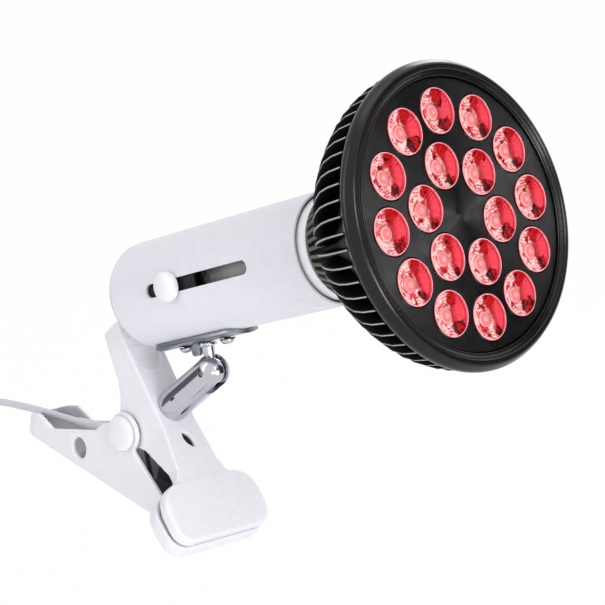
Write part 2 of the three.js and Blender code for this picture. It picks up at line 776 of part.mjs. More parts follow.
piece("bracket_saddle", "steel", makeSaddle(), head);

for (const [name, side] of [["bracket_screw_rear", -1], ["bracket_screw_front", 1]]) {
  const headTop = saddleBottom - gap;
  const screw = turnedAlongZ(
    [
      [headTop - screwHeadThick, 0],
      [headTop - screwHeadThick, screwHeadRadius * 0.55],
      [headTop - screwHeadThick / 2, screwHeadRadius * 0.92],
      [headTop, screwHeadRadius],
      [headTop, screwRadius],
      [insideBottom + threadPast, screwRadius],
      [insideBottom + threadPast, 0],
    ],
    16,
    (side * screwSpacing) / 2,
  );
  piece(name, "chrome", screw, head);
}

// Tube, closed and rounded at the rear, open at the front, with the knob's slot in its near side
const slotStart = -tubeBack + slotFromBack;

function slotOutline(half) {
  const outline = new THREE.Shape();
  outline.absarc(slotStart + slotLength - half, axisHeight, half, -Math.PI / 2, Math.PI / 2);
  outline.absarc(slotStart + half, axisHeight, half, Math.PI / 2, 1.5 * Math.PI);
  return outline;
}

function makeTube() {
  const inner = tubeRadius - tubeWall;
  const innerRound = tubeRound - tubeWall;
  const roundSteps = 2;
  const profile = [[-tubeBack, 0]];
  for (let i = 0; i <= roundSteps; i += 1) {
    const angle = (Math.PI / 2) * (i / roundSteps);
    const along = -tubeBack + tubeRound * (1 - Math.cos(angle));
    profile.push([along, tubeRadius - tubeRound * (1 - Math.sin(angle))]);
  }
  profile.push([tubeFront, tubeRadius], [tubeFront, inner]);
  for (let i = roundSteps; i >= 0; i -= 1) {
    const angle = (Math.PI / 2) * (i / roundSteps);
    const along = -tubeBack + tubeWall + innerRound * (1 - Math.cos(angle));
    profile.push([along, inner - innerRound * (1 - Math.sin(angle))]);
  }
  profile.push([-tubeBack + tubeWall, 0]);
  let body = turnedAlongX(profile, 44, axisHeight);
  body = body.subtract(slabAlongY(slotOutline(slotWidth / 2), -tubeRadius - cutOver, -tubeRadius / 2));
  for (const x of [-screwSpacing / 2, 0, screwSpacing / 2]) {
    const radius = (x === 0 ? studRadius : screwRadius) + gap;
    body = body.subtract(barUp(x, tubeBottom - cutOver, axisHeight / 2 + tubeWall, radius, 16));
  }
  return body;
}
piece("shade_tube", "paint", makeTube(), head);

// Slide: the plate behind the slot, the knob with its shank, and the bulb holder
const slideOuter = tubeRadius - tubeWall - gap;
const slideInner = slideOuter - slideThick;
const slideLow = knobPlace - slideBack;
const bossEnd = Math.sqrt(slideInner ** 2 - bossRadius ** 2) - gap;

function makeSlide() {
  const plate = sector(slideInner, slideOuter, 180, slideHalfAngle, slideLow, slideLow + slideLength);
  return plate.subtract(
    bar(place(knobPlace, 0, axisHeight), place(knobPlace, -tubeRadius, axisHeight), shankRadius + gap, 16),
  );
}
piece("slide_plate", "black", makeSlide(), head);

const knobInner = tubeRadius + gap;
const knobProfile = [
  [-socketRadius + cutOver, 0],
  [-socketRadius + cutOver, shankRadius],
  [-knobInner, shankRadius],
  [-knobInner, knobRadius],
  [-knobInner - knobThick + knobEdge, knobRadius],
  [-knobInner - knobThick + knobEdge / 3, knobRadius * 0.88],
  [-knobInner - knobThick, knobRadius * 0.6],
  [-knobInner - knobThick - knobEdge / 3, 0],
];
piece("slide_knob", "white", turnedAlongY(knobProfile, 24, knobPlace, axisHeight), head);

const socketLow = knobPlace - socketBack;
const socketMid = socketLow + socketBodyLength;

function makeSocketBody() {
  let body = turnedAlongX(
    [
      [socketLow, 0],
      [socketLow, socketRadius * 0.8],
      [socketLow + socketRadius * 0.12, socketRadius],
      [socketMid, socketRadius],
      [socketMid, 0],
    ],
    24,
    axisHeight,
  );
  const [bossRoot, bossFace] = [-socketRadius / 2, -bossEnd];
  body = body.add(bar(place(knobPlace, bossRoot, axisHeight), place(knobPlace, bossFace, axisHeight), bossRadius));
  return body.subtract(
    bar(
      place(knobPlace, -socketRadius + cutOver + gap, axisHeight),
      place(knobPlace, -tubeRadius, axisHeight),
      shankRadius + pinSlack,
      16,
    ),
  );
}
piece("socket_body", "black", makeSocketBody(), head);

const skirtLow = socketMid + gap;
const skirtHigh = skirtLow + skirtLength;
const skirtInner = socketRadius - skirtWall;
const skirt = ringAlongX(skirtLow, skirtHigh, skirtInner, socketRadius, 24, axisHeight);
piece("socket_skirt", "porcelain", skirt, head);
const shellOuter = skirtInner - gap;
const shell = ringAlongX(skirtLow, skirtHigh - cutOver, shellOuter - shellWall, shellOuter, 24, axisHeight);
piece("socket_shell", "brass", shell, head);
piece(
  "socket_contact",
  "brass",
  turnedAlongX(
    [
      [skirtLow, 0],
      [skirtLow, contactRadius],
      [skirtLow + contactThick / 2, contactRadius],
      [skirtLow + contactThick, contactRadius / 2],
      [skirtLow + contactThick, 0],
    ],
    16,
    axisHeight,
  ),
  head,
);

// Bulb: measured back from its lens plane
const atBulb = (back) => bulbReach - back;
const tipLow = skirtLow + contactThick + gap;
const insulatorLow = tipLow + tipThick + gap;
const capShellLow = insulatorLow + insulatorLength + gap;
const capShellHigh = capShellLow + capShellLength;
const collarLow = capShellHigh + gap;
const collarHigh = atBulb(sinkBack) - gap;

piece(
  "cap_tip",
  "brass",
  turnedAlongX(
    [
      [tipLow, 0],
      [tipLow, tipRadius / 2],
      [tipLow + tipThick / 2, tipRadius],
      [tipLow + tipThick, tipRadius],
      [tipLow + tipThick, 0],
    ],
    16,
    axisHeight,
  ),
  head,
);
piece(
  "cap_insulator",
  "black",
  turnedAlongX(
    [
      [insulatorLow, 0],
      [insulatorLow, insulatorFace],
      [insulatorLow + insulatorLength, capShellRadius - gap],
      [insulatorLow + insulatorLength, 0],
    ],
    24,
    axisHeight,
  ),
  head,
);

function makeCapShell() {
  const inner = capShellRadius - capShellWall - threadDepth;
  const profile = [[capShellLow, inner], [capShellLow, capShellRadius - threadDepth]];
  const rings = Math.floor(capShellLength / threadPitch) - 1;
  for (let i = 0; i < rings; i += 1) {
    const low = capShellLow + (i + 0.5) * threadPitch;
    profile.push([low + threadPitch / 2, capShellRadius], [low + threadPitch, capShellRadius - threadDepth]);
  }
  profile.push([capShellHigh, capShellRadius - threadDepth], [capShellHigh, inner], [capShellLow, inner]);
  return turnedAlongX(profile, 14, axisHeight);
}
piece("cap_shell", "brass", makeCapShell(), head);

function makeCollar() {
  const spigot = capShellRadius - capShellWall - threadDepth - gap;
  const flareEnd = collarHigh - collarFlare;
  const profile = [
    [collarLow - spigotLength, spigot - collarWall],
    [collarLow - spigotLength, spigot],
    [collarLow, spigot],
    [collarLow, capShellRadius],
    [collarLow + (flareEnd - collarLow) / 2, capShellRadius + collarWall / 2],
    [flareEnd, collarRadius],
    [collarHigh, collarRadius],
    [collarHigh, collarRadius - collarWall],
    [flareEnd, collarRadius - collarWall],
    [collarLow + (flareEnd - collarLow) / 2, capShellRadius - collarWall / 2],
    [collarLow, spigot - collarWall],
    [collarLow - spigotLength, spigot - collarWall],
  ];
  return turnedAlongX(profile, 20, axisHeight);
}
piece("neck_collar", "white", makeCollar(), head);

// Heat sink: a cone with a blind bore behind and fins in two rows
const sinkRim = bulbRadius - bezelLip - gap;
const sinkRimEnd = sinkFront + sinkFlange;
const coneShares = [[0, 1], [0.35, 0.76], [0.82, 0.4], [1, 0.4]];
const finShares = [[0.04, 1], [0.45, 0.82], [0.84, 0.545]];

function makeHeatSink() {
  const core = [[atBulb(sinkFront), 0], [atBulb(sinkFront), sinkRim], [atBulb(sinkRimEnd), sinkRim]];
  const run = sinkBack - sinkRimEnd;
  for (const [along, out] of coneShares) {
    core.push([atBulb(sinkRimEnd + along * run), Math.max(out * sinkRim * 0.9, sinkNeckRadius)]);
  }
  const boreEnd = atBulb(sinkFront + sinkSeat);
  core.push([atBulb(sinkBack), sinkBore], [boreEnd, sinkBore], [boreEnd, 0]);
  let body = turnedAlongX(core, 24, 0);
  const outline = [point(atBulb(sinkRimEnd - gap), sinkBore + gap)];
  for (const [along, out] of finShares) outline.push(point(atBulb(sinkRimEnd + along * run), out * sinkRim));
  const stepRadius = sinkNeckRadius * 1.3;
  outline.push(point(atBulb(finStep), stepRadius + gap), point(atBulb(finStep + 2 * gap), stepRadius));
  outline.push(point(atBulb(sinkBack - gap), stepRadius * 0.93));
  outline.push(point(atBulb(sinkBack - gap), sinkBore + gap));
  const fin = slabAlongY(outline, -finThick / 2, finThick / 2);
  for (let i = 0; i < finCount; i += 1) body = body.add(fin.rotate([(360 * i) / finCount, 0, 0]));
  const bore = discAlongX(atBulb(sinkBack + cutOver), boreEnd, sinkBore, 24);
  return body.subtract(bore).translate([0, 0, axisHeight]);
}
piece("heat_sink", "anodised", makeHeatSink(), head);

// Bezel: a rounded band with a stepped groove round the face plate
const bezelShares = [[1, 0.2], [0.84, 0.03], [0.4, 0], [0.12, 0.16], [0, 0.5]];
const grooveShares = [[0.03, 0.74], [0.17, 0.88]];
const plateRadius = bulbRadius - bezelWidth - gap;
const lensRadius = lensShare * plateRadius;
const [outerRing, innerRing] = ringShares.map((share) => share * plateRadius);

function makeBezel() {
  const front = atBulb(-bezelFront);
  const spot = ([along, inward]) => [front - along * bezelLength, bulbRadius - inward * bezelWidth];
  const seat = atBulb(plateBack + plateThick + gap);
  const profile = [
    [front - bezelLength, bulbRadius - bezelLip],
    ...bezelShares.map(spot),
    ...grooveShares.map(spot),
    [front - bezelLength * grooveShares[1][0], bulbRadius - bezelWidth],
    [seat, bulbRadius - bezelWidth],
    [seat, bulbRadius - bezelLip],
    [front - bezelLength, bulbRadius - bezelLip],
  ];
  return turnedAlongX(profile, 44, axisHeight);
}
piece("bezel_ring", "anodised", makeBezel(), head);

// Places of the lenses round the axis, as [y, z]
const lensPlaces = [];
const rings = [[outerCount, outerRing, outerPhase], [innerCount, innerRing, innerPhase]];
for (const [count, ring, phase] of rings) {
  for (let i = 0; i < count; i += 1) {
    const angle = radians(phase + (360 * i) / count);
    lensPlaces.push([ring * Math.cos(angle), axisHeight + ring * Math.sin(angle)]);
  }
}

function makePlate() {
  const [back, front] = [atBulb(plateBack + plateThick), atBulb(plateBack)];
  let body = discAlongX(back, front, plateRadius, 48, axisHeight);
  const hole = discAlongX(back - cutOver, front + cutOver, lensRadius + gap, lensSides);
  for (const [y, z] of lensPlaces) body = body.subtract(hole.translate([0, y, z]));
  return body;
}
piece("face_plate", "anodised", makePlate(), head);

const boardHigh = atBulb(sinkFront) + gap + boardThick;

function makeBoard() {
  let body = discAlongX(boardHigh - boardThick, boardHigh, plateRadius - gap, 24, axisHeight);
  for (const [y, z] of lensPlaces) {
    body = body.add(bar(place(boardHigh - gap, y, z), place(boardHigh + chipHeight, y, z), chipRadius, 4));
  }
  return body;
}
piece("led_board", "board", makeBoard(), head);

const lensLow = boardHigh + chipHeight + gap;
lensPlaces.forEach(([y, z], i) => {
  const neck = atBulb(plateBack + plateThick) - gap;
  const profile = [
    [lensLow, 0],
    [lensLow, footShare * lensRadius],
    [neck, lensRadius],
    [atBulb(0), lensRadius],
    [atBulb(0), 0],
  ];
  const name = `lens_${String(i + 1).padStart(2, "0")}`;
  piece(name, "lens", turnedAlongX(profile, lensSides).translate([0, y, z]), head);
});

function makeDriver() {
  const high = atBulb(sinkFront + sinkSeat) - gap;
  const half = sinkBore - gap;
  const mid = axisHeight;
  const low = high - driverLength;
  let body = block(place(low, -half, mid - driverThick / 2), place(high, half, mid + driverThick / 2));
  body = body.add(
    block(
      place(high - driverLength * 0.8, -half / 2, mid),
      place(high - driverLength * 0.45, half / 4, mid + driverTall),
    ),
  );
  const canAlong = high - driverLength * 0.25;
  return body.add(bar(place(canAlong, 0, mid), place(canAlong, 0, mid + 2 * driverTall), driverTall, 12));
}
piece("driver_board", "driver", makeDriver(), head);

// Cord: out of the handle, down through its switch, into a hanging coil, with its plug
function makeRelief() {
  const profile = [
    [-reliefStart, 0],
    [-reliefStart, reliefRadius],
    [reliefMiddle + ribThick / 2 + gap, reliefRadius],
    [-reliefStart - reliefLength, reliefTip],
    [-reliefStart - reliefLength, 0],
  ];
  return turnedAlongX(profile, 16, cordHeight);
}
piece("cord_relief", "white", makeRelief(), lamp);

// The lead's course, in shares of its reach and of its fall
const leadShares = [
  [0, 0], [0.18, 0], [0.35, 0], [0.55, 0.017], [0.725, 0.052], [0.845, 0.138], [0.94, 0.314], [0.99, 0.565],
  [1, 0.798], [1, 1],
];
// The tail's course, from the switch to the coil
const tailShares = [[0, 0], [0, 0.218], [0.065, 0.517], [0.25, 0.771], [0.528, 0.94], [0.855, 1], [1, 1]];

function tubeThrough(points, steps, sides) {
  const curve = new THREE.CatmullRomCurve3(points, false, "centripetal");
  const ring = new THREE.Shape();
  for (let k = 0; k < sides; k += 1) {
    const angle = (2 * Math.PI * k) / sides;
    const [x, y] = [cordRadius * Math.cos(angle), cordRadius * Math.sin(angle)];
    if (k === 0) ring.moveTo(x, y);
    else ring.lineTo(x, y);
  }
  return solidOf(new THREE.ExtrudeGeometry(ring, { steps, extrudePath: curve, bevelEnabled: false }));
}
const leadStart = -reliefStart - reliefLength - gap;
const leadSpots = leadShares.map(([out, down]) => {
  return place(leadStart - out * leadReach, 0, cordHeight - down * leadFall);
});
piece("cord_lead", "white", tubeThrough(leadSpots, 16, 8), lamp);

const switchTop = cordHeight - leadFall - gap;
const switchX = leadStart - leadReach;

function makeSwitchCase() {
  const outline = new THREE.Shape();
  const [x, z] = [switchDepth / 2, switchLength / 2];
  const middle = switchTop - z;
  const [inX, inZ] = [x - switchCorner, z - switchCorner];
  outline.absarc(switchX + inX, middle + inZ, switchCorner, 0, Math.PI / 2);
  outline.absarc(switchX - inX, middle + inZ, switchCorner, Math.PI / 2, Math.PI);
  outline.absarc(switchX - inX, middle - inZ, switchCorner, Math.PI, 1.5 * Math.PI);
  outline.absarc(switchX + inX, middle - inZ, switchCorner, 1.5 * Math.PI, 2 * Math.PI);
  let body = slabAlongY(outline, -switchWidth / 2, switchWidth / 2);
  const [halfLong, halfWide] = [rockerLength / 2 + gap, rockerWidth / 2 + gap];
  body = body.subtract(
    block(
      place(switchX - x - cutOver, -halfWide, middle - halfLong),
      place(switchX - x + rockerDepth + 3 * gap, halfWide, middle + halfLong),
    ),
  );
  return body;
}
piece("switch_case", "white", makeSwitchCase(), lamp);

// The rocker's outer face is a shallow V, and it rests with its lower half pressed in
function makeRocker() {
  const middle = switchTop - switchLength / 2;
  const face = switchX - switchDepth / 2;
  const half = rockerLength / 2 - gap;
  const lift = half * Math.tan(radians(rockerTilt));
  const outline = [
    point(face + rockerDepth, middle - half / 2),
    point(face + rockerDepth, middle + half / 2),
    point(face + 2 * lift, middle + half),
    point(face - rockerProud + lift, middle + half),
    point(face - gap, middle),
    point(face - rockerProud + lift, middle - half),
    point(face + 2 * lift, middle - half),
  ];
  const hinge = place(face + rockerDepth / 2, 0, middle);
  const rocker = slabAlongY(outline, -rockerWidth / 2, rockerWidth / 2).translate([-hinge.x, 0, -hinge.z]);
  return rocker.rotate([0, -rockerTilt, 0]).translate([hinge.x, 0, hinge.z]);
}
piece("switch_rocker", "black", makeRocker(), lamp);

// Hanging coil: it spirals in and out through its layers and climbs where the spiral turns back
const coilOuter = coilInner + coilPitch * coilTurnsALayer;
const switchEnd = switchTop - switchLength;
const tailEnd = place(switchX - tailReach, 0, switchEnd - gap - tailFall);
const coilTop = place(tailEnd.x - gap - coilStraight, 0, tailEnd.z);
const coilCentre = place(coilTop.x, 0, coilTop.z - coilOuter);

function coilPlaces() {
  const places = [place(coilTop.x + coilStraight, 0, coilTop.z)];
  const turns = coilLayers * coilTurnsALayer;
  const steps = Math.round(turns * coilStepsATurn);
  for (let i = 0; i <= steps; i += 1) {
    const turn = (turns * i) / steps;
    const layer = Math.min(Math.floor(turn / coilTurnsALayer), coilLayers - 1);
    const share = turn / coilTurnsALayer - layer;
    const inward = layer % 2 ? 1 - share : share;
    const radius = coilOuter - inward * (coilOuter - coilInner);
    let height = 0;
    for (let k = 1; k < coilLayers; k += 1) {
      const climb = THREE.MathUtils.clamp((turn - k * coilTurnsALayer) / 0.5 + 0.5, 0, 1);
      height += coilPitch * climb;
    }
    const angle = Math.PI / 2 + 2 * Math.PI * turn;
    const [out, up] = [radius * Math.cos(angle), radius * Math.sin(angle)];
    places.push(place(coilCentre.x + out, height, coilCentre.z + up));
  }
  const end = places[places.length - 1];
  places.push(place(end.x, end.y, end.z - coilDrop));
  return places;
}
const coilRoute = coilPlaces();
piece("cord_coil", "white", wireThrough(coilRoute, cordRadius, coilSides), lamp);
const leastApart = Math.round(coilStepsATurn / 2);
console.log("least gap in the coil, mm:", leastGap(coilRoute, cordRadius, leastApart).toFixed(2));
console.log("least gap in the spring, mm:", leastGap(springRoute, wireRadius, curlSteps / 2).toFixed(2));

const tailSpots = tailShares.map(([out, down]) => {
  return place(switchX - out * tailReach, 0, switchEnd - gap - down * tailFall);
});
piece("cord_tail", "white", tubeThrough(tailSpots, 10, 8), lamp);

// Tie round the coil's bundle, on the side away from the lamp
function makeTie() {
  const half = cordRadius + gap;
  const low = -half;
  const high = coilPitch * (coilLayers - 1) + half;
  const inner = coilInner - half;
  const outer = coilOuter + half;
  const across = (grow) => {
    const shape = new THREE.Shape();
    shape.moveTo(-outer - grow, low - grow);
    shape.lineTo(-inner + grow, low - grow);
    shape.lineTo(-inner + grow, high + grow);
    shape.lineTo(-outer - grow, high + grow);
    shape.closePath();
    return shape;
  };
  const ring = across(tieWall);
  ring.holes.push(across(0));
  const band = slabAlongZ(ring, -tieLength / 2, tieLength / 2);
  return band.rotate([0, tieDegrees, 0]).translate([coilCentre.x, 0, coilCentre.z]);
}
piece("cord_tie", "white", makeTie(), lamp);

// Plug at the end of the coil
const coilEnd = coilRoute[coilRoute.length - 1];

function makePlug() {
  const top = coilEnd.z - gap;
  const shoulder = top - plugLength * 0.45;
  const outline = [
    point(coilEnd.x - plugNeck / 2, top),
    point(coilEnd.x - plugWidth / 2, shoulder),
    point(coilEnd.x - plugWidth / 2, top - plugLength),
    point(coilEnd.x + plugWidth / 2, top - plugLength),
    point(coilEnd.x + plugWidth / 2, shoulder),
    point(coilEnd.x + plugNeck / 2, top),
  ];
  let body = slabAlongY(outline, coilEnd.y - plugDepth / 2, coilEnd.y + plugDepth / 2);
  for (const side of [-1, 1]) {
    const x = coilEnd.x + (side * bladeSpacing) / 2;
    const [thick, wide] = [bladeThick / 2 + gap, bladeWidth / 2 + gap];
    const base = top - plugLength;
    const low = place(x - thick, coilEnd.y - wide, base - cutOver);
    const high = place(x + thick, coilEnd.y + wide, base + cutOver + gap);
    body = body.subtract(block(low, high));
  }
  return body;
}
piece("plug_body", "white", makePlug(), lamp);
for (const [name, side] of [["plug_blade_left", -1], ["plug_blade_right", 1]]) {
  const x = coilEnd.x + (side * bladeSpacing) / 2;
  const top = coilEnd.z - gap - plugLength + cutOver;
  const blade = block(
    place(x - bladeThick / 2, coilEnd.y - bladeWidth / 2, top - cutOver - bladeLength),
    place(x + bladeThick / 2, coilEnd.y + bladeWidth / 2, top),
  );
  piece(name, "brass", blade, lamp);
}

export default lamp;
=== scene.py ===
import math
from functools import partial

import bmesh
import bpy
from mathutils import Matrix, Vector


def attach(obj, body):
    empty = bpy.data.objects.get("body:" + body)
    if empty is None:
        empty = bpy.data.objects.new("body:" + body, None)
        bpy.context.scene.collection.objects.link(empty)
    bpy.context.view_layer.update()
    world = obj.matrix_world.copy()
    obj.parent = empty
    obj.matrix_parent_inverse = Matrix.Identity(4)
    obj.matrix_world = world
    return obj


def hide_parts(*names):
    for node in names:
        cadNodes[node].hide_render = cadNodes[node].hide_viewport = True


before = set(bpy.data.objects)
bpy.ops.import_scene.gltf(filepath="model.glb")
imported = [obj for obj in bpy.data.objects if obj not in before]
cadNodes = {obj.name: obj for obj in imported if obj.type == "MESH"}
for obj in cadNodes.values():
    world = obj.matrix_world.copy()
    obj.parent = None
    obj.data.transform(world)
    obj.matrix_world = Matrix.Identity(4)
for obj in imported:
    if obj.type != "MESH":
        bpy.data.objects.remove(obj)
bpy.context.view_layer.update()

mm = 0.001
gap = 0.3  # millimetres between pieces that touch

# The lamp's own frames, in millimetres and degrees, as the CAD model has them
layout = {
    "leverLean": 53.0,
    "rearLean": 12.6,
    "shadeRise": 17.0,
    "pivotBack": 50.0,
    "pivotHeight": -18.6,
    "barrelBack": 49.2,
    "leverFace": 5.6,
    "pinHeight": 40.6,
    "axisHeight": 39.0,
    "bulbReach": 163.7,
}


def turnY(degrees):
    return Matrix.Rotation(math.radians(degrees), 4, "Y")


def turnZ(degrees):
    return Matrix.Rotation(math.radians(degrees), 4, "Z")


def shift(x, y, z):
    return Matrix.Translation((x, y, z))


def inMetres(place):
    return Matrix.Scale(mm, 4) @ place


leverPlace = turnY(layout["leverLean"])
pivotPlace = leverPlace @ shift(-layout["pivotBack"], 0, layout["pivotHeight"])
rearPlace = pivotPlace @ turnY(layout["rearLean"] - layout["leverLean"])
barrelPlace = leverPlace @ shift(-layout["barrelBack"], 0, 0)
knucklePlace = barrelPlace @ shift(0, 0, layout["pinHeight"])
headPlace = knucklePlace @ turnY(-layout["leverLean"] - layout["shadeRise"])
tubePlace = headPlace @ shift(0, 0, layout["axisHeight"])
bulbPlace = tubePlace @ shift(layout["bulbReach"], 0, 0)  # X out of the bulb's face, 0 at the lens plane
xToY = turnZ(90)
xToZ = turnY(-90)
print("frames set")


def addObject(name, mesh):
    obj = bpy.data.objects.new(name, mesh)
    bpy.context.collection.objects.link(obj)
    return obj


def startMaterial(name):
    material = bpy.data.materials.new(name)
    material.use_nodes = True
    tree = material.node_tree
    return material, tree, tree.nodes["Principled BSDF"]


# Links each input that is given a socket, and sets the others
def feed(tree, node, inputs):
    for key, value in inputs.items():
        socket = node.inputs[key]
        if isinstance(value, bpy.types.NodeSocket):
            tree.links.new(value, socket)
        else:
            socket.default_value = (*value, 1) if socket.type == "RGBA" else value


def addNode(tree, kind, inputs, **settings):
    node = tree.nodes.new(kind)
    for name, value in settings.items():
        setattr(node, name, value)
    feed(tree, node, inputs)
    return node


def calc(tree, operation, *values):
    return addNode(tree, "ShaderNodeMath", dict(enumerate(values)), operation=operation).outputs[0]


def mapped(tree, value, low, high, toLow=0.0, toHigh=1.0, curve="LINEAR"):
    inputs = {"Value": value, "From Min": low, "From Max": high, "To Min": toLow, "To Max": toHigh}
    return addNode(tree, "ShaderNodeMapRange", inputs, interpolation_type=curve).outputs["Result"]


def ramped(tree, value, low, high):
    return mapped(tree, value, low, high, curve="SMOOTHSTEP")


def blended(tree, factor, first, second):
    inputs = {"Factor": factor, "A": first, "B": second}
    return addNode(tree, "ShaderNodeMix", inputs, data_type="RGBA").outputs["Result"]


def noise(tree, vector, scale, detail):
    inputs = {"Vector": vector, "Scale": scale, "Detail": detail}
    return addNode(tree, "ShaderNodeTexNoise", inputs).outputs["Fac"]


# Noise spread from low to high
def mottle(tree, vector, scale, low, high, detail=2.0):
    return mapped(tree, noise(tree, vector, scale, detail), 0.3, 0.7, low, high)


def awayFrom(tree, x, y, spot):
    squares = [calc(tree, "POWER", calc(tree, "SUBTRACT", c, s), 2.0) for c, s in zip((x, y), spot)]
    return calc(tree, "SQRT", calc(tree, "ADD", *squares))


def objectSpot(tree):
    return tree.nodes.new("ShaderNodeTexCoord").outputs["Object"]


# Object coordinates seen from one of the lamp's frames
def spotFrom(tree, place):
    inputs = {
        "Vector": objectSpot(tree),
        "Location": place.to_translation() * mm,
        "Rotation": place.to_euler(),
    }
    return addNode(tree, "ShaderNodeMapping", inputs, vector_type="TEXTURE").outputs["Vector"]


def splitUp(tree, vector):
    return addNode(tree, "ShaderNodeSeparateXYZ", {0: vector}).outputs


def bumped(tree, height, strength, depth):
    inputs = {"Height": height, "Strength": strength, "Distance": depth}
    return addNode(tree, "ShaderNodeBump", inputs).outputs["Normal"]


photoView = {
    "place": (0.6455, -0.5660, 0.2605),
    "back": (0.7061, -0.6819, 0.1908),
    "lens": 119.0,
    "sensor": 36.0,
    "nearClip": 0.02,
}


def makeCamera(view):
    data = bpy.data.cameras.new("photoCamera")
    data.lens = view["lens"]
    data.sensor_width = view["sensor"]
    data.clip_start = view["nearClip"]
    back = Vector(view["back"]).normalized()
    right = Vector((0, 0, 1)).cross(back).normalized()
    turned = Matrix((right, back.cross(right), back)).transposed().to_4x4()
    camera = addObject("photoCamera", data)
    camera.matrix_world = Matrix.Translation(view["place"]) @ turned
    bpy.context.scene.camera = camera


# Places and sizes in metres
studio = {
    "floorHeight": -0.24,
    "floorSize": 60.0,
    "floorColour": (0.93, 0.93, 0.93),
    "sheetRough": 0.9,
    "seenWhite": 0.96,  # share of plain white that the camera sees on the floor
    "ambient": 0.72,
    # name: place, aim, size, height and power
    "lamps": {
        "keySoftbox": ((-0.5, -1.3, 1.4), (0.0, 0.0, 0.08), 0.55, 0.55, 1.7),
        "leftStrip": ((-0.46, -1.0, 0.42), (0.15, -0.03, 0.14), 0.3, 0.7, 1.9),
        "rightFill": ((1.3, -1.1, 0.0), (0.0, 0.0, -0.03), 0.5, 0.5, 1.8),
        "frontFill": ((1.7, -0.3, -0.02), (0.0, 0.0, -0.03), 0.5, 0.5, 9.5),
        "sideSoftbox": ((1.5, -0.5, 0.9), (0.05, 0.0, 0.0), 0.5, 0.5, 6),
        "backSoftbox": ((-0.6, 1.4, 1.1), (0.0, 0.0, 0.1), 0.8, 0.8, 6),
        "topSoftbox": ((0.15, 0.0, 1.7), (0.05, 0.0, 0.0), 0.9, 0.9, 2.5),
    },
    # dark cards that the chrome and the bulb's face reflect, unseen by any camera: colour and corners
    "flags": {
        "tallFlag": (
            (0.012, 0.012, 0.012),
            [(0.596, 0.836, -0.23), (1.004, 0.423, -0.23), (1.004, 0.423, 1.5), (0.596, 0.836, 1.5)],
        ),
        "leftFlag": (
            (0.12, 0.12, 0.13),
            [
                (-0.504, -0.209, 0.237), (-0.588, -0.073, -0.017),
                (-0.459, -0.310, -0.187), (-0.375, -0.446, 0.067),
            ],
        ),
    },
}


# 1 for what the camera, a gloss or a clear piece sees, 0 for the light that falls on the lamp
def seenRays(tree):
    rays = tree.nodes.new("ShaderNodeLightPath").outputs
    seen = calc(tree, "MAXIMUM", rays["Is Camera Ray"], rays["Is Glossy Ray"])
    return calc(tree, "MAXIMUM", seen, rays["Is Transmission Ray"])


def stageSheet(name, corners, colour, hidden):
    mesh = bpy.data.meshes.new(name)
    mesh.from_pydata(corners, [], [(0, 1, 2, 3)])
    sheet = addObject(name, mesh)
    sheet.visible_camera = not hidden
    material, tree, shader = startMaterial(name)
    feed(tree, shader, {"Base Color": colour, "Roughness": studio["sheetRough"]})
    mesh.materials.append(material)
    return tree, shader


def makeStudio(values):
    scene = bpy.context.scene
    scene.view_settings.view_transform = "Standard"
    scene.world = bpy.data.worlds.new("paleRoom")
    scene.world.use_nodes = True
    tree = scene.world.node_tree
    strength = mapped(tree, seenRays(tree), 0, 1, values["ambient"], 1)
    feed(tree, tree.nodes["Background"], {"Color": (1, 1, 1), "Strength": strength})

    half = values["floorSize"] / 2
    corners = [(x * half, y * half, values["floorHeight"]) for x, y in ((-1, -1), (1, -1), (1, 1), (-1, 1))]
    tree, diffuse = stageSheet("studioFloor", corners, values["floorColour"], False)
    share = calc(tree, "MULTIPLY", seenRays(tree), values["seenWhite"])
    glow = tree.nodes.new("ShaderNodeEmission")
    mix = addNode(tree, "ShaderNodeMixShader", {"Fac": share, 1: diffuse.outputs[0], 2: glow.outputs[0]})
    feed(tree, tree.nodes["Material Output"], {"Surface": mix.outputs[0]})
    for name, (colour, corners) in values["flags"].items():
        stageSheet(name, corners, colour, True)

    for name, (place, aim, size, height, power) in values["lamps"].items():
        data = bpy.data.lights.new(name, "AREA")
        data.energy = power
        data.shape = "SQUARE" if size == height else "RECTANGLE"
        data.size, data.size_y = size, height
        light = addObject(name, data)
        light.location = place
        light.rotation_euler = (Vector(aim) - Vector(place)).to_track_quat("-Z", "Y").to_euler()


makeCamera(photoView)
makeStudio(studio)
print("camera and studio set")


# A plain finish: colour with a slight mottle, uneven roughness and a fine grain
def makeFinish(name, colour, rough, metal, spec, patch, grain, bump, roughSpread=0.03):
    material, tree, shader = startMaterial(name)
    spot = objectSpot(tree)
    deep = tuple(c * 0.96 for c in colour)
    feed(tree, shader, {
        "Base Color": blended(tree, mottle(tree, spot, patch, 0, 1), colour, deep),
        "Roughness": mottle(tree, spot, patch * 3, rough - roughSpread, rough + roughSpread),
        "Metallic": metal,
        "Specular IOR Level": spec,
    })
    if bump:
        feed(tree, shader, {"Normal": bumped(tree, noise(tree, spot, grain, 1.0), bump, 0.00005)})
    return material


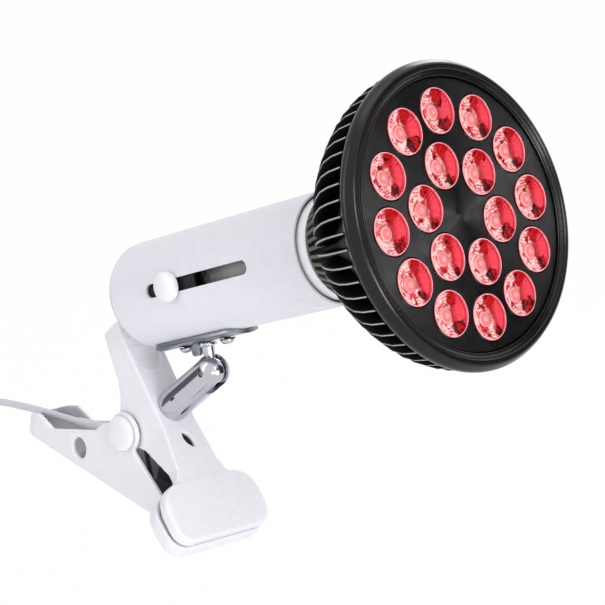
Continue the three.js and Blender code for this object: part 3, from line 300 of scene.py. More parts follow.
# Colour, roughness, metal, specular level, patch and grain scales, bump, and for chrome its spread
finishLooks = {
    "mouldedWhite": ((0.79, 0.79, 0.84), 0.34, 0.0, 0.4, 260, 1500, 0.06),
    # painted shade: dark grey for the shaded channel between the jaws, mid grey for the shaded handle channel
    "throatShade": ((0.16, 0.155, 0.17), 0.5, 0.0, 0.3, 200, 1500, 0.1),
    "channelShade": ((0.50, 0.50, 0.54), 0.5, 0.0, 0.3, 200, 1500, 0.1),
    "knobWhite": ((0.82, 0.82, 0.85), 0.3, 0.0, 0.4, 300, 1500, 0.05),
    "powderCoat": ((0.73, 0.73, 0.79), 0.42, 0.0, 0.4, 240, 1500, 0.12),
    "cordJacket": ((0.60, 0.60, 0.64), 0.45, 0.0, 0.5, 300, 1400, 0.12),
    "gripRubber": ((0.62, 0.62, 0.66), 0.75, 0.0, 0.5, 300, 1100, 0.4),
    "polishedChrome": ((0.56, 0.56, 0.61), 0.15, 1.0, 0.5, 300, 1800, 0, 0.02),
    "zincSteel": ((0.30, 0.31, 0.35), 0.33, 1.0, 0.5, 260, 1600, 0.25),
    "darkWasher": ((0.05, 0.05, 0.055), 0.4, 0.8, 0.5, 300, 1600, 0.2),
    "darkWire": ((0.02, 0.019, 0.021), 0.35, 0.0, 0.3, 300, 2400, 0.2),
    "plainBrass": ((0.62, 0.45, 0.19), 0.28, 1.0, 0.5, 260, 1800, 0.15),
    "mattBlack": ((0.012, 0.012, 0.013), 0.5, 0.0, 0.2, 200, 1500, 0.25),
    "blackAnodised": ((0.004, 0.0045, 0.004), 0.2, 0.0, 0.32, 200, 2600, 0.1),
    "finBlack": ((0.004, 0.0045, 0.004), 0.42, 0.0, 0.12, 240, 2200, 0.25),
    "neckGrey": ((0.07, 0.075, 0.062), 0.45, 0.0, 0.35, 240, 2200, 0.25),
    "cutAluminium": ((0.40, 0.41, 0.385), 0.45, 0.3, 0.5, 260, 2600, 0.2),
    "solderMask": ((0.7, 0.7, 0.68), 0.5, 0.0, 0.5, 300, 1500, 0.2),
    "circuitGreen": ((0.03, 0.16, 0.07), 0.45, 0.0, 0.5, 300, 1500, 0.2),
}
finishes = {name: makeFinish(name, *look) for name, look in finishLooks.items()}

# Painted shade: the porcelain is painted dark at the back of the tube, where shade falls inside it, fading to
# a pale grey towards its mouth, between two places along it
skirtShadeFade = {
    "dark": (0.012, 0.012, 0.013),
    "pale": (0.40, 0.40, 0.42),
    "from": 0.026,
    "to": 0.046,
    "uneven": 0.003,
    "rough": 0.35,
    "roughSpread": 0.05,
}


def makeSkirtShadeFade(look):
    material, tree, shader = startMaterial("glazedPorcelain")
    spot = objectSpot(tree)
    along = splitUp(tree, spotFrom(tree, tubePlace))["X"]
    reach = calc(tree, "ADD", along, mottle(tree, spot, 500, -look["uneven"], look["uneven"], 3.0))
    fade = mapped(tree, reach, look["from"], look["to"])
    low, high = look["rough"] - look["roughSpread"], look["rough"] + look["roughSpread"]
    feed(tree, shader, {
        "Base Color": blended(tree, fade, look["dark"], look["pale"]),
        "Roughness": mottle(tree, spot, 300, low, high),
    })
    return material


finishes["glazedPorcelain"] = makeSkirtShadeFade(skirtShadeFade)

brushedFace = {
    "colour": (0.08, 0.08, 0.08),
    "ridgeColour": (0.12, 0.12, 0.12),
    "rough": 0.3,
    "roughSpread": 0.03,
    "anisotropic": 0.92,
    "ringScale": 420,
    "ringDistortion": 0.6,
    "beadScale": 1300,
    "bump": 0.1,
    "depth": 0.00004,
}


# Brushed in circles: grooves by distance from the bulb's axis, and a stretched gloss along them
def makeBrushedFace(look):
    material, tree, shader = startMaterial("brushedFace")
    centre = spotFrom(tree, bulbPlace)
    inputs = {"Vector": centre, "Scale": look["ringScale"], "Distortion": look["ringDistortion"]}
    wave = addNode(tree, "ShaderNodeTexWave", inputs, wave_type="RINGS", rings_direction="X")
    rings = wave.outputs["Fac"]
    beads = addNode(tree, "ShaderNodeTexVoronoi", {"Vector": centre, "Scale": look["beadScale"]})
    height = calc(tree, "ADD", rings, beads.outputs["Distance"])
    low, high = look["rough"] - look["roughSpread"], look["rough"] + look["roughSpread"]
    around = addNode(tree, "ShaderNodeTangent", {}, direction_type="UV_MAP", uv_map="around")
    feed(tree, shader, {
        "Base Color": blended(tree, rings, look["colour"], look["ridgeColour"]),
        "Roughness": mottle(tree, objectSpot(tree), 180, low, high),
        "Metallic": 1.0,
        "Anisotropic": look["anisotropic"],
        "Anisotropic Rotation": 0.25,
        "Tangent": around.outputs["Tangent"],
        "Normal": bumped(tree, height, look["bump"], look["depth"]),
    })
    return material


finishes["brushedFace"] = makeBrushedFace(brushedFace)

# Colours, and places and widths in the lens's own UV, from -1 to 1 across it
lensLook = {
    # white and pink are the painted highlights of the lit facets and of the dome's rings
    "white": (0.84, 0.52, 0.50),
    "pink": (0.70, 0.17, 0.18),
    "rose": (0.67, 0.05, 0.075),
    "red": (0.36, 0.003, 0.006),
    "deep": (0.055, 0.0, 0.002),
    "facets": [
        (0.1, "white"), (0.3, "pink"), (0.42, "white"), (0.58, "white"),
        (0.72, "pink"), (0.86, "rose"), (0.96, "deep"),
    ],
    "cellScale": 4.6,
    "cellSmooth": 0.3,
    "cellLine": (0.015, 0.06),
    "wideScale": 45,
    "drift": 0.9,  # how far the wide noise bends the pattern
    "fineScale": 300,
    "wobble": 0.5,  # and the fine noise
    "sweep": (0.15, 0.5),
    "meeting": (-0.06, 0.2),  # where the facets pass into the sweep
    "rimLine": ((0.82, 0.86), (0.87, 0.91)),
    # painted reflections of the rim in the facets
    "rimReflections": [((-0.3, 1.5), 0.2, 0.42), ((-0.2, -1.4), 0.36, 0.55)],  # centre, and heights that fade it in
    "arcPitch": 46.0,
    "patches": [((0.38, -0.62), 0.38), ((0.16, 0.7), 0.36)],
    "patchEdge": 0.12,
    "dome": (-0.27, -0.05),
    "domeRadius": 0.34,
    "domePitch": 25.0,
    "domeRings": 0.45,
    "domeEdge": 0.55,
    "glow": 0.16,
    "rough": 0.25,
}


# Lit optic with its view painted in: pale broken facets as painted highlights on one side, a smooth red sweep
# on the other as the painted far wall seen through the lens, with a dome ringed by painted highlights and two
# deep patches
def makeLensRed(look):
    material, tree, shader = startMaterial("litRedOptic")
    do, ramp, mix, away = (partial(step, tree) for step in (calc, ramped, blended, awayFrom))
    solid = objectSpot(tree)
    fine = noise(tree, solid, look["fineScale"], 1)
    wobble = do("MULTIPLY", do("SUBTRACT", fine, 0.5), look["wobble"])
    drift = do("MULTIPLY", do("SUBTRACT", noise(tree, solid, look["wideScale"], 0), 0.5), look["drift"])
    flat = splitUp(tree, addNode(tree, "ShaderNodeUVMap", {}, uv_map="lensFace").outputs["UV"])
    x, y = (do("MULTIPLY_ADD", flat[axis], 2.0, -1.0) for axis in "XY")
    roughX = do("ADD", x, wobble)

    bent = addNode(tree, "ShaderNodeCombineXYZ", {
        "X": do("ADD", roughX, drift),
        "Y": do("SUBTRACT", do("ADD", y, wobble), drift),
    })
    cellInputs = {"Vector": bent.outputs["Vector"], "Scale": look["cellScale"]}
    inputs = {**cellInputs, "Smoothness": look["cellSmooth"]}
    cells = addNode(tree, "ShaderNodeTexVoronoi", inputs, feature="SMOOTH_F1")
    chance = addNode(tree, "ShaderNodeSeparateColor", {0: cells.outputs["Color"]}).outputs
    facets = addNode(tree, "ShaderNodeValToRGB", {"Fac": do("ADD", wobble, chance[0])})
    stops = facets.color_ramp.elements
    stops[0].position, stops[1].position = look["facets"][0][0], look["facets"][-1][0]
    for position, _ in look["facets"][1:-1]:
        stops.new(position)
    for stop, (_, name) in zip(stops, look["facets"]):
        stop.color = (*look[name], 1)
    borders = addNode(tree, "ShaderNodeTexVoronoi", cellInputs, feature="DISTANCE_TO_EDGE")
    line = do("SUBTRACT", 1.0, ramp(borders.outputs["Distance"], *look["cellLine"]))
    broken = mix(do("MULTIPLY", line, ramp(fine, 0.45, 0.6)), facets.outputs["Color"], look["red"])

    sweep = mix(ramp(do("MULTIPLY_ADD", drift, 0.5, x), *look["sweep"]), look["red"], look["rose"])
    inner, outer = (ramp(away(x, y, (0, 0)), *band) for band in look["rimLine"])
    rimLine = do("MULTIPLY", inner, do("SUBTRACT", 1.0, outer))
    sweep = mix(do("MULTIPLY", rimLine, 0.6), sweep, look["deep"])
    shifted = do("MULTIPLY_ADD", drift, 0.6, do("MULTIPLY_ADD", y, 0.12, roughX))
    colour = mix(ramp(shifted, *look["meeting"]), broken, sweep)

    # painted reflection: curved dark lines above and below, the rim reflected in the facets
    bend = do("MULTIPLY_ADD", drift, 0.4, do("MULTIPLY", wobble, 0.5))
    for centre, low, high in look["rimReflections"]:
        reach = do("ADD", away(x, y, centre), bend)
        stripe = ramp(do("SINE", do("MULTIPLY", reach, look["arcPitch"])), 0.55, 0.9)
        height = do("MULTIPLY", y, math.copysign(1, centre[1]))
        zone = do("MULTIPLY", ramp(height, low, high), ramp(fine, 0.38, 0.5))
        colour = mix(do("MULTIPLY", stripe, zone), colour, look["red"])

    shade = mix(ramp(do("ADD", chance[1], wobble), 0.3, 0.55), look["red"], look["deep"])
    for spot, size in look["patches"]:
        near = do("MULTIPLY_ADD", wobble, -1.6, do("SUBTRACT", size, away(x, y, spot)))
        near = do("MULTIPLY_ADD", drift, 0.5, near)
        colour = mix(ramp(near, 0.0, look["patchEdge"]), colour, shade)

    dome, radius = away(x, y, look["dome"]), look["domeRadius"]
    edge = do("SUBTRACT", 1.0, ramp(dome, radius + 0.02, radius + 0.08))
    colour = mix(do("MULTIPLY", edge, look["domeEdge"]), colour, look["red"])
    bands = do("SINE", do("MULTIPLY_ADD", dome, look["domePitch"], do("MULTIPLY", drift, 2.5)))
    ringed = mix(do("MULTIPLY", ramp(bands, -0.2, 1.0), look["domeRings"]), look["pink"], look["white"])
    inside = do("SUBTRACT", 1.0, ramp(dome, radius - 0.04, radius))
    colour = mix(inside, colour, ringed)
    feed(tree, shader, {
        "Base Color": colour,
        "Emission Color": colour,
        "Emission Strength": look["glow"],
        "Roughness": look["rough"],
        "Specular IOR Level": 0.15,
        "Coat Weight": 0.15,
        "Coat Roughness": 0.03,
    })
    return material


def makeLensTrim(name, colour, glow):
    material, tree, shader = startMaterial(name)
    deep = (colour[0] * 0.85, colour[1] * 0.6, colour[2] * 0.6)
    mix = blended(tree, mottle(tree, objectSpot(tree), 420, 0, 1), colour, deep)
    feed(tree, shader, {
        "Base Color": mix,
        "Emission Color": mix,
        "Emission Strength": glow,
        "Roughness": 0.2,
        "Specular IOR Level": 0.2,
    })
    return material


finishes["litRedOptic"] = makeLensRed(lensLook)
finishes["lensRim"] = makeLensTrim("lensRim", (0.95, 0.42, 0.46), 0.15)
finishes["lensSide"] = makeLensTrim("lensSide", (0.16, 0.004, 0.008), 0.1)
print("materials made:", len(finishes))


# Turns live modifiers into a plain mesh
def settle(obj):
    bpy.context.view_layer.update()
    depsgraph = bpy.context.evaluated_depsgraph_get()
    mesh = bpy.data.meshes.new_from_object(obj.evaluated_get(depsgraph), depsgraph=depsgraph)
    mesh.name = obj.name
    old = obj.data
    obj.modifiers.clear()
    obj.data = mesh
    if old.users == 0:
        bpy.data.meshes.remove(old)
    return obj


def dropObject(obj):
    mesh = obj.data
    bpy.data.objects.remove(obj)
    if mesh.users == 0:
        bpy.data.meshes.remove(mesh)


def takeMesh(obj):
    mesh = obj.data.copy()
    dropObject(obj)
    return mesh


# Shades and paints a piece; its faces start with the first finish
def dress(obj, *names, degrees=32):
    mesh = obj.data
    mesh.shade_smooth()
    mesh.set_sharp_from_angle(angle=math.radians(degrees))
    paint(mesh, *names)


def paint(mesh, *names):
    mesh.materials.clear()
    for name in names:
        mesh.materials.append(finishes[name])


# Hands a finished mesh object to the frame
def fit(obj, body, slot, *replaced):
    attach(obj, body)
    if replaced:
        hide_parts(*replaced)
    return obj


def meshFrom(bm, name, place=Matrix(), scale=mm):
    bm.transform(Matrix.Scale(scale, 4) @ place)
    bmesh.ops.recalc_face_normals(bm, faces=bm.faces)
    mesh = bpy.data.meshes.new(name)
    bm.to_mesh(mesh)
    bm.free()
    return mesh


def objectFrom(bm, name, place=Matrix()):
    return addObject(name, meshFrom(bm, name, place))


# Corners of an open or closed line of points, each rounded by its third number
def roundCorners(points, steps=4):
    out = []
    closed = points[0][:2] == points[-1][:2]
    ring = points[:-1] if closed else points
    for i, entry in enumerate(ring):
        here = Vector(entry[:2])
        radius = entry[2] if len(entry) > 2 else 0
        if radius <= 0 or (not closed and i in (0, len(ring) - 1)):
            out.append(tuple(here))
            continue
        before = (Vector(ring[i - 1][:2]) - here).normalized()
        after = (Vector(ring[(i + 1) % len(ring)][:2]) - here).normalized()
        half = before.angle(after) / 2
        run = radius / math.tan(half)
        centre = here + (before + after).normalized() * (radius / math.sin(half))
        start = here + before * run - centre
        end = here + after * run - centre
        sweep = math.atan2(start.x * end.y - start.y * end.x, start.dot(end))
        for k in range(steps + 1):
            angle = sweep * k / steps
            c, s = math.cos(angle), math.sin(angle)
            out.append((centre.x + start.x * c - start.y * s, centre.y + start.x * s + start.y * c))
    if closed:
        out.append(out[0])
    return out


# A closed outline with rounded corners, its last point left out
def roundOutline(points, steps):
    return roundCorners([*points, points[0]], steps)[:-1]


# The four corners of a rectangle, each with the same rounding
def rectangle(left, right, low, high, corner=0):
    return [(left, low, corner), (right, low, corner), (right, high, corner), (left, high, corner)]


# Turns a line of (along, radius) about X
def latheBmesh(profile, sides):
    bm = bmesh.new()
    closed = (Vector(profile[0]) - Vector(profile[-1])).length < 1e-6
    rings = []
    for along, radius in profile[:-1] if closed else profile:
        if radius < 1e-5:
            rings.append([bm.verts.new((along, 0, 0))])
            continue
        angles = [2 * math.pi * k / sides for k in range(sides)]
        rings.append([bm.verts.new((along, radius * math.cos(a), radius * math.sin(a))) for a in angles])
    pairs = list(zip(rings, rings[1:]))
    if closed:
        pairs.append((rings[-1], rings[0]))
    for first, second in pairs:
        for k in range(sides):
            m = (k + 1) % sides
            if len(first) == 1 and len(second) == 1:
                continue
            if len(first) == 1:
                bm.faces.new((first[0], second[k], second[m]))
            elif len(second) == 1:
                bm.faces.new((first[k], second[0], first[m]))
            else:
                bm.faces.new((first[k], second[k], second[m], first[m]))
    return bm


# A turned piece, from a line of (along, radius, corner); without steps its corners stay sharp
def turned(name, line, steps, sides, place):
    return objectFrom(latheBmesh(roundCorners(line, steps) if steps else line, sides), name, place)


def rod(low, high, radius, sides):
    return latheBmesh([(low, 0), (low, radius), (high, radius), (high, 0)], sides)


def block(place, size):
    bm = bmesh.new()
    bmesh.ops.create_cube(bm, size=1, matrix=place @ Matrix.Diagonal((*size, 1)))
    return bm


# A flat outline of (x, z) points pushed from low to high along Y
def slabBmesh(outline, low, high):
    bm = bmesh.new()
    near = [bm.verts.new((point[0], low, point[1])) for point in outline]
    far = [bm.verts.new((point[0], high, point[1])) for point in outline]
    bm.faces.new(near)
    bm.faces.new(far[::-1])
    count = len(outline)
    for k in range(count):
        m = (k + 1) % count
        bm.faces.new((near[m], near[k], far[k], far[m]))
    return bm


# A strip curved about X between two radii, at stations of (x, half angle)
def stripBmesh(stations, radii, middle, steps):
    bm = bmesh.new()
    rows = []
    for x, reach in stations:
        angles = [middle + reach * (2 * k / steps - 1) for k in range(steps + 1)]
        rows.append([[bm.verts.new((x, r * math.cos(a), r * math.sin(a))) for a in angles] for r in radii])
    for (lowIn, lowOut), (highIn, highOut) in zip(rows, rows[1:]):
        for k in range(steps):
            bm.faces.new((lowIn[k], lowIn[k + 1], highIn[k + 1], highIn[k]))
            bm.faces.new((lowOut[k + 1], lowOut[k], highOut[k], highOut[k + 1]))
        bm.faces.new((lowIn[0], highIn[0], highOut[0], lowOut[0]))
        bm.faces.new((lowIn[-1], lowOut[-1], highOut[-1], highIn[-1]))
    for inLine, outLine in (rows[0], rows[-1]):
        for k in range(steps):
            bm.faces.new((inLine[k], inLine[k + 1], outLine[k + 1], outLine[k]))
    return bm


# Adds solids to an object, or takes them out of it
def combine(obj, operation, *meshes):
    for mesh in meshes:
        other = addObject("other", mesh)
        both = obj.modifiers.new("combine", "BOOLEAN")
        both.operation = operation
        both.solver = "EXACT"
        both.object = other
        settle(obj)
        dropObject(other)
    return obj


def soften(obj, width, segments=2, degrees=35, finish=-1):
    bevel = obj.modifiers.new("soften", "BEVEL")
    bevel.width = width * mm
    bevel.segments = segments
    bevel.limit_method = "ANGLE"
    bevel.angle_limit = math.radians(degrees)
    bevel.use_clamp_overlap = True
    bevel.material = finish
    return settle(obj)


# A merged copy of a CAD node's mesh, in metres
def cadCopy(node, name):
    bm = bmesh.new()
    bm.from_mesh(cadNodes[node].data)
    bmesh.ops.remove_doubles(bm, verts=bm.verts, dist=1e-6)
    bmesh.ops.dissolve_limit(bm, angle_limit=math.radians(1), verts=bm.verts, edges=bm.edges)
    mesh = bpy.data.meshes.new(name)
    bm.to_mesh(mesh)
    bm.free()
    return addObject(name, mesh)


# Repeats a mesh at the listed points, by Geometry Nodes; the finish goes on its faces of material index 0
def repeatAt(name, unit, spots, finish, turnEach=0.0):
    tree = bpy.data.node_groups.new(name + "Nodes", "GeometryNodeTree")
    for label, way, kind in (
        ("Geometry", "INPUT", "Geometry"),
        ("Unit", "INPUT", "Object"),
        ("Turn each", "INPUT", "Float"),
        ("Geometry", "OUTPUT", "Geometry"),
    ):
        tree.interface.new_socket(label, in_out=way, socket_type="NodeSocket" + kind)
    start = tree.nodes.new("NodeGroupInput").outputs
    info = addNode(tree, "GeometryNodeObjectInfo", {"Object": start["Unit"]})
    index = tree.nodes.new("GeometryNodeInputIndex").outputs[0]
    euler = addNode(tree, "ShaderNodeCombineXYZ", {"X": calc(tree, "MULTIPLY", index, start["Turn each"])})
    turn = addNode(tree, "FunctionNodeEulerToRotation", {0: euler.outputs[0]})
    place = addNode(tree, "GeometryNodeInstanceOnPoints", {
        "Points": start["Geometry"],
        "Instance": info.outputs["Geometry"],
        "Rotation": turn.outputs[0],
    })
    real = addNode(tree, "GeometryNodeRealizeInstances", {"Geometry": place.outputs["Instances"]})
    ownIndex = tree.nodes.new("GeometryNodeInputMaterialIndex").outputs[0]
    isMain = addNode(tree, "FunctionNodeCompare", {2: ownIndex}, data_type="INT", operation="EQUAL")
    coat = addNode(tree, "GeometryNodeSetMaterial", {
        "Geometry": real.outputs["Geometry"],
        "Selection": isMain.outputs[0],
        "Material": finishes[finish],
    })
    addNode(tree, "NodeGroupOutput", {"Geometry": coat.outputs["Geometry"]})

    points = bpy.data.meshes.new(name)
    points.from_pydata(spots, [], [])
    obj = addObject(name, points)
    source = addObject(name + "Unit", unit)
    modifier = obj.modifiers.new("repeat", "NODES")
    modifier.node_group = tree
    sockets = {item.name: item.identifier for item in tree.interface.items_tree if item.in_out == "INPUT"}
    modifier[sockets["Unit"]] = source
    modifier[sockets["Turn each"]] = turnEach
    settle(obj)
    dropObject(source)
    return obj


# A round tube along points, with flat ends
def tubeBmesh(points, radius, sides):
    bm = bmesh.new()
    spots = [Vector(p) for p in points]
    last = len(spots) - 1
    ahead = [(spots[min(i + 1, last)] - spots[max(i - 1, 0)]).normalized() for i in range(last + 1)]
    normal = Vector((0, 1, 0)).cross(ahead[0])
    if normal.length < 0.1:
        normal = Vector((0, 0, 1)).cross(ahead[0])
    angles = [2 * math.pi * k / sides for k in range(sides)]
    rings = []
    for spot, forward in zip(spots, ahead):
        normal = (normal - forward * normal.dot(forward)).normalized()
        side = forward.cross(normal)
        around = [normal * math.cos(a) + side * math.sin(a) for a in angles]
        rings.append([bm.verts.new(spot + out * radius) for out in around])
    for first, second in zip(rings, rings[1:]):
        for k in range(sides):
            m = (k + 1) % sides
            bm.faces.new((first[k], first[m], second[m], second[k]))
    bm.faces.new(rings[0][::-1])
    bm.faces.new(rings[-1])
    return bm


# Even steps along a smooth line through points
def smoothLine(points, step):
    spots = [Vector(p) for p in points]
    ends = [spots[0] * 2 - spots[1], *spots, spots[-1] * 2 - spots[-2]]
    dense = []
    for i in range(1, len(ends) - 2):
        a, b, c, d = ends[i - 1 : i + 3]
        for k in range(40):
            t = k / 40
            bend = (c - a) * t + (2 * a - 5 * b + 4 * c - d) * t * t + (3 * b - a - 3 * c + d) * t**3
            dense.append(0.5 * (2 * b + bend))
    dense.append(spots[-1])
    line = [dense[0]]
    travelled = 0.0
    for before, after in zip(dense, dense[1:]):
        travelled += (after - before).length
        if travelled >= step:
            line.append(after)
            travelled = 0.0
    if (line[-1] - dense[-1]).length < step * 0.4:
        line.pop()
    line.append(dense[-1])
    return line


def straight(a, b, count):
    return [tuple(Vector(a).lerp(Vector(b), k / count)) for k in range(count + 1)]


def lengthOf(points):
    return sum((Vector(b) - Vector(a)).length for a, b in zip(points, points[1:]))


print("helpers ready")

cordValues = {
    "radius": 1.8,
    "sides": 12,
    "step": 1.5,
    "start": (-94.3, 22.7),
    "leadReach": 90.5,
    "leadFall": 34.7,
    "leadShares": [
        (0, 0), (0.18, 0), (0.35, 0), (0.55, 0.017), (0.725, 0.052), (0.845, 0.138),
        (0.94, 0.314), (0.99, 0.565), (1, 0.798), (1, 1),
    ],
    "switchLength": 52.0,
    "tailReach": 21.4,
    "tailFall": 21.4,
    "tailShares": [(0, 0), (0, 0.218), (0.065, 0.517), (0.25, 0.771), (0.528, 0.94), (0.855, 1), (1, 1)],
    "coilInner": 15.2,
    "coilPitch": 4.15,
    "coilLayers": 4,
    "turnsALayer": 2.5625,
    "stepsATurn": 36,
    "coilStraight": 3.6,
    "coilDrop": 29.0,
    "dropSteps": 12,
}
switchX = cordValues["start"][0] - cordValues["leadReach"]
switchTop = cordValues["start"][1] - cordValues["leadFall"] - gap
switchMiddle = switchTop - cordValues["switchLength"] / 2


def coilRoute(values, top):
    inner, perLayer = values["coilInner"], values["turnsALayer"]
    span = values["coilPitch"] * perLayer
    outer = inner + span
    x0, z0 = top[0], top[1] - outer
    turns = values["coilLayers"] * perLayer
    steps = round(turns * values["stepsATurn"])
    spots = []
    for i in range(steps + 1):
        turn = turns * i / steps
        layer = min(int(turn / perLayer), values["coilLayers"] - 1)
        share = turn / perLayer - layer
        radius = inner + share * span if layer % 2 else outer - share * span
        height = 0.0
        for k in range(1, values["coilLayers"]):
            climb = (turn - k * perLayer) / 0.5 + 0.5  # each layer climbs to the next over half a turn
            height += values["coilPitch"] * min(max(climb, 0), 1)
        angle = math.pi / 2 + 2 * math.pi * turn
        spots.append((x0 + radius * math.cos(angle), height, z0 + radius * math.sin(angle)))
    return spots, (x0, z0), outer


def makeCord(values):
    def hanging(x, z, stretch):
        reach, fall = values[stretch + "Reach"], values[stretch + "Fall"]
        spots = [(x - out * reach, 0, z - down * fall) for out, down in values[stretch + "Shares"]]
        return smoothLine(spots, values["step"])

    low = switchTop - values["switchLength"] - gap
    lead = hanging(*values["start"], "lead")
    tail = hanging(switchX, low, "tail")
    top = (switchX - values["tailReach"] - gap - values["coilStraight"], low - values["tailFall"])
    coil, centre, outer = coilRoute(values, top)
    x, y, z = coil[-1]
    steps = values["dropSteps"]
    drop = [(x, y, z - k * values["coilDrop"] / steps) for k in range(1, steps + 1)]
    route = [*lead, *tail, *coil, *drop]
    cord = objectFrom(tubeBmesh(route, values["radius"], values["sides"]), "mainsCord")
    dress(cord, "cordJacket", degrees=60)
    fit(cord, "rear", "cord_white", "cord_lead", "cord_tail", "cord_coil")
    return cord, [tuple(c * mm for c in p) for p in route], centre, outer, drop[-1]


mainsCord, cordPath, coilCentre, coilOuter, cordEnd = makeCord(cordValues)
print("cord laid, metres:", round(lengthOf(cordPath), 3))

reliefValues = {"start": -69.0, "height": 22.7, "length": 25.0, "radius": 3.5, "step": 0.4, "tip": 2.3}


def makeRelief(values):
    start, length, radius = values["start"], values["length"], values["radius"]
    line = [
        (start, 0),
        (start, radius, 0.6),
        (start - length * 0.25, radius, 1.5),
        (start - length * 0.3, radius - values["step"], 1.5),
        (start - length, values["tip"], 0.5),
        (start - length, 0),
    ]
    relief = turned("cordRelief", line, 3, 32, shift(0, 0, values["height"]))
    dress(relief, "cordJacket")
    fit(relief, "rear", "white_plastic", "cord_relief")


makeRelief(reliefValues)

switchValues = {
    "depth": 14.0,
    "width": 19.0,
    "corner": 5.0,
    "edge": 2.2,
    "rockerLength": 15.0,
    "rockerWidth": 8.0,
    "rockerDepth": 4.5,
    "rockerProud": 1.6,
    "rockerTilt": 9.0,
    "rockerEdge": 0.35,
    "pocketBehind": 0.9,
    "seam": 0.35,
    "seamSheet": (40, 80),  # wider and longer than the case
    "past": 3.0,  # how far the pocket's cutter runs out of the case
}


def makeSwitch(values, length):
    x, middle, seam = switchX, switchMiddle, values["seam"]
    face, wide = x - values["depth"] / 2, values["width"] / 2
    low, high = middle - length / 2, middle + length / 2
    outline = rectangle(face, x + values["depth"] / 2, low, high, values["corner"])
    case = objectFrom(slabBmesh(roundOutline(outline, 8), -wide, wide), "switchCase")
    soften(case, values["edge"], 4, 50)
    half, deep = values["rockerLength"] / 2, values["rockerDepth"]
    rockerWide = values["rockerWidth"] / 2
    back = face + deep + values["pocketBehind"]
    hollow = rectangle(face - values["past"], back, middle - half - gap, middle + half + gap)
    pocket = slabBmesh(hollow, -rockerWide - gap, rockerWide + gap)
    # the seam is a thin sheet without its core, so that it cuts only the skin
    groove = objectFrom(block(shift(x, 0, middle), (seam, *values["seamSheet"])), "groove")
    core = block(shift(x, 0, middle), (4, values["width"] - 2 * seam, length - 2 * seam))
    combine(groove, "DIFFERENCE", meshFrom(core, "core"))
    combine(case, "DIFFERENCE", meshFrom(pocket, "pocket"), takeMesh(groove))
    dress(case, "mouldedWhite")
    fit(case, "rear", "white_plastic", "switch_case")

    run = half - gap
    lift = run * math.tan(math.radians(values["rockerTilt"]))
    proud = face - values["rockerProud"] + lift
    outline = [
        (face + deep, middle - run / 2),
        (face + deep, middle + run / 2),
        (face + 2 * lift, middle + run),
        (proud, middle + run),
        (face - gap, middle),
        (proud, middle - run),
        (face + 2 * lift, middle - run),
    ]
    hinge = Vector((face + deep / 2, 0, middle))
    tilt = Matrix.Translation(hinge) @ turnY(-values["rockerTilt"]) @ Matrix.Translation(-hinge)
    rocker = objectFrom(slabBmesh(outline, -rockerWide, rockerWide), "switchRocker", tilt)
    soften(rocker, values["rockerEdge"], 3)
    dress(rocker, "mattBlack")
    fit(rocker, "rocker", "black_plastic", "switch_rocker")
    return case, rocker


switchCase, switchRocker = makeSwitch(switchValues, cordValues["switchLength"])

tieValues = {"wall": 1.0, "length": 6.0, "turn": 125.0, "innerCorner": 1, "outerCorner": 2, "edge": 0.2}


def makeTie(values, cordSizes):
    half, wall = cordSizes["radius"] + gap, values["wall"]
    low, high = -half, cordSizes["coilPitch"] * (cordSizes["coilLayers"] - 1) + half
    left, right = -coilOuter - half, -(cordSizes["coilInner"] - half)
    outer = rectangle(left - wall, right + wall, low - wall, high + wall, values["outerCorner"])
    inner = rectangle(left, right, low, high, values["innerCorner"])
    bm = bmesh.new()
    (lowOut, lowIn), (highOut, highIn) = (
        [[bm.verts.new((x, y, z)) for x, y in roundOutline(line, 5)] for line in (outer, inner)]
        for z in (-values["length"] / 2, values["length"] / 2)
    )
    for k in range(len(lowOut)):
        m = (k + 1) % len(lowOut)
        bm.faces.new((lowOut[k], lowOut[m], highOut[m], highOut[k]))
        bm.faces.new((lowIn[m], lowIn[k], highIn[k], highIn[m]))
        bm.faces.new((lowOut[m], lowOut[k], lowIn[k], lowIn[m]))
        bm.faces.new((highOut[k], highOut[m], highIn[m], highIn[k]))
    tie = objectFrom(bm, "coilTie", shift(coilCentre[0], 0, coilCentre[1]) @ turnY(values["turn"]))
    soften(tie, values["edge"], 2)
    dress(tie, "mouldedWhite")
    return fit(tie, "rear", "white_plastic", "cord_tie")


coilTie = makeTie(tieValues, cordValues)

plugValues = {
    "length": 32.0,
    "width": 24.0,
    "depth": 15.0,
    "neck": 5.0,
    "shoulderShare": 0.45,
    "edge": 3.0,
    "bladeLength": 17.0,
    "bladeWidth": 6.3,
    "bladeThick": 1.5,
    "bladeSpacing": 12.7,
    "bladeRoot": 3.0,
    "bladeTip": 2.2,
    "slitDepth": 3.3,
    "ribs": 4,
    "ribPitch": 3.2,
    "ribStart": 2.0,
    "ribCut": (1.6, 1.3),
    "ribWidthShare": 0.62,
}


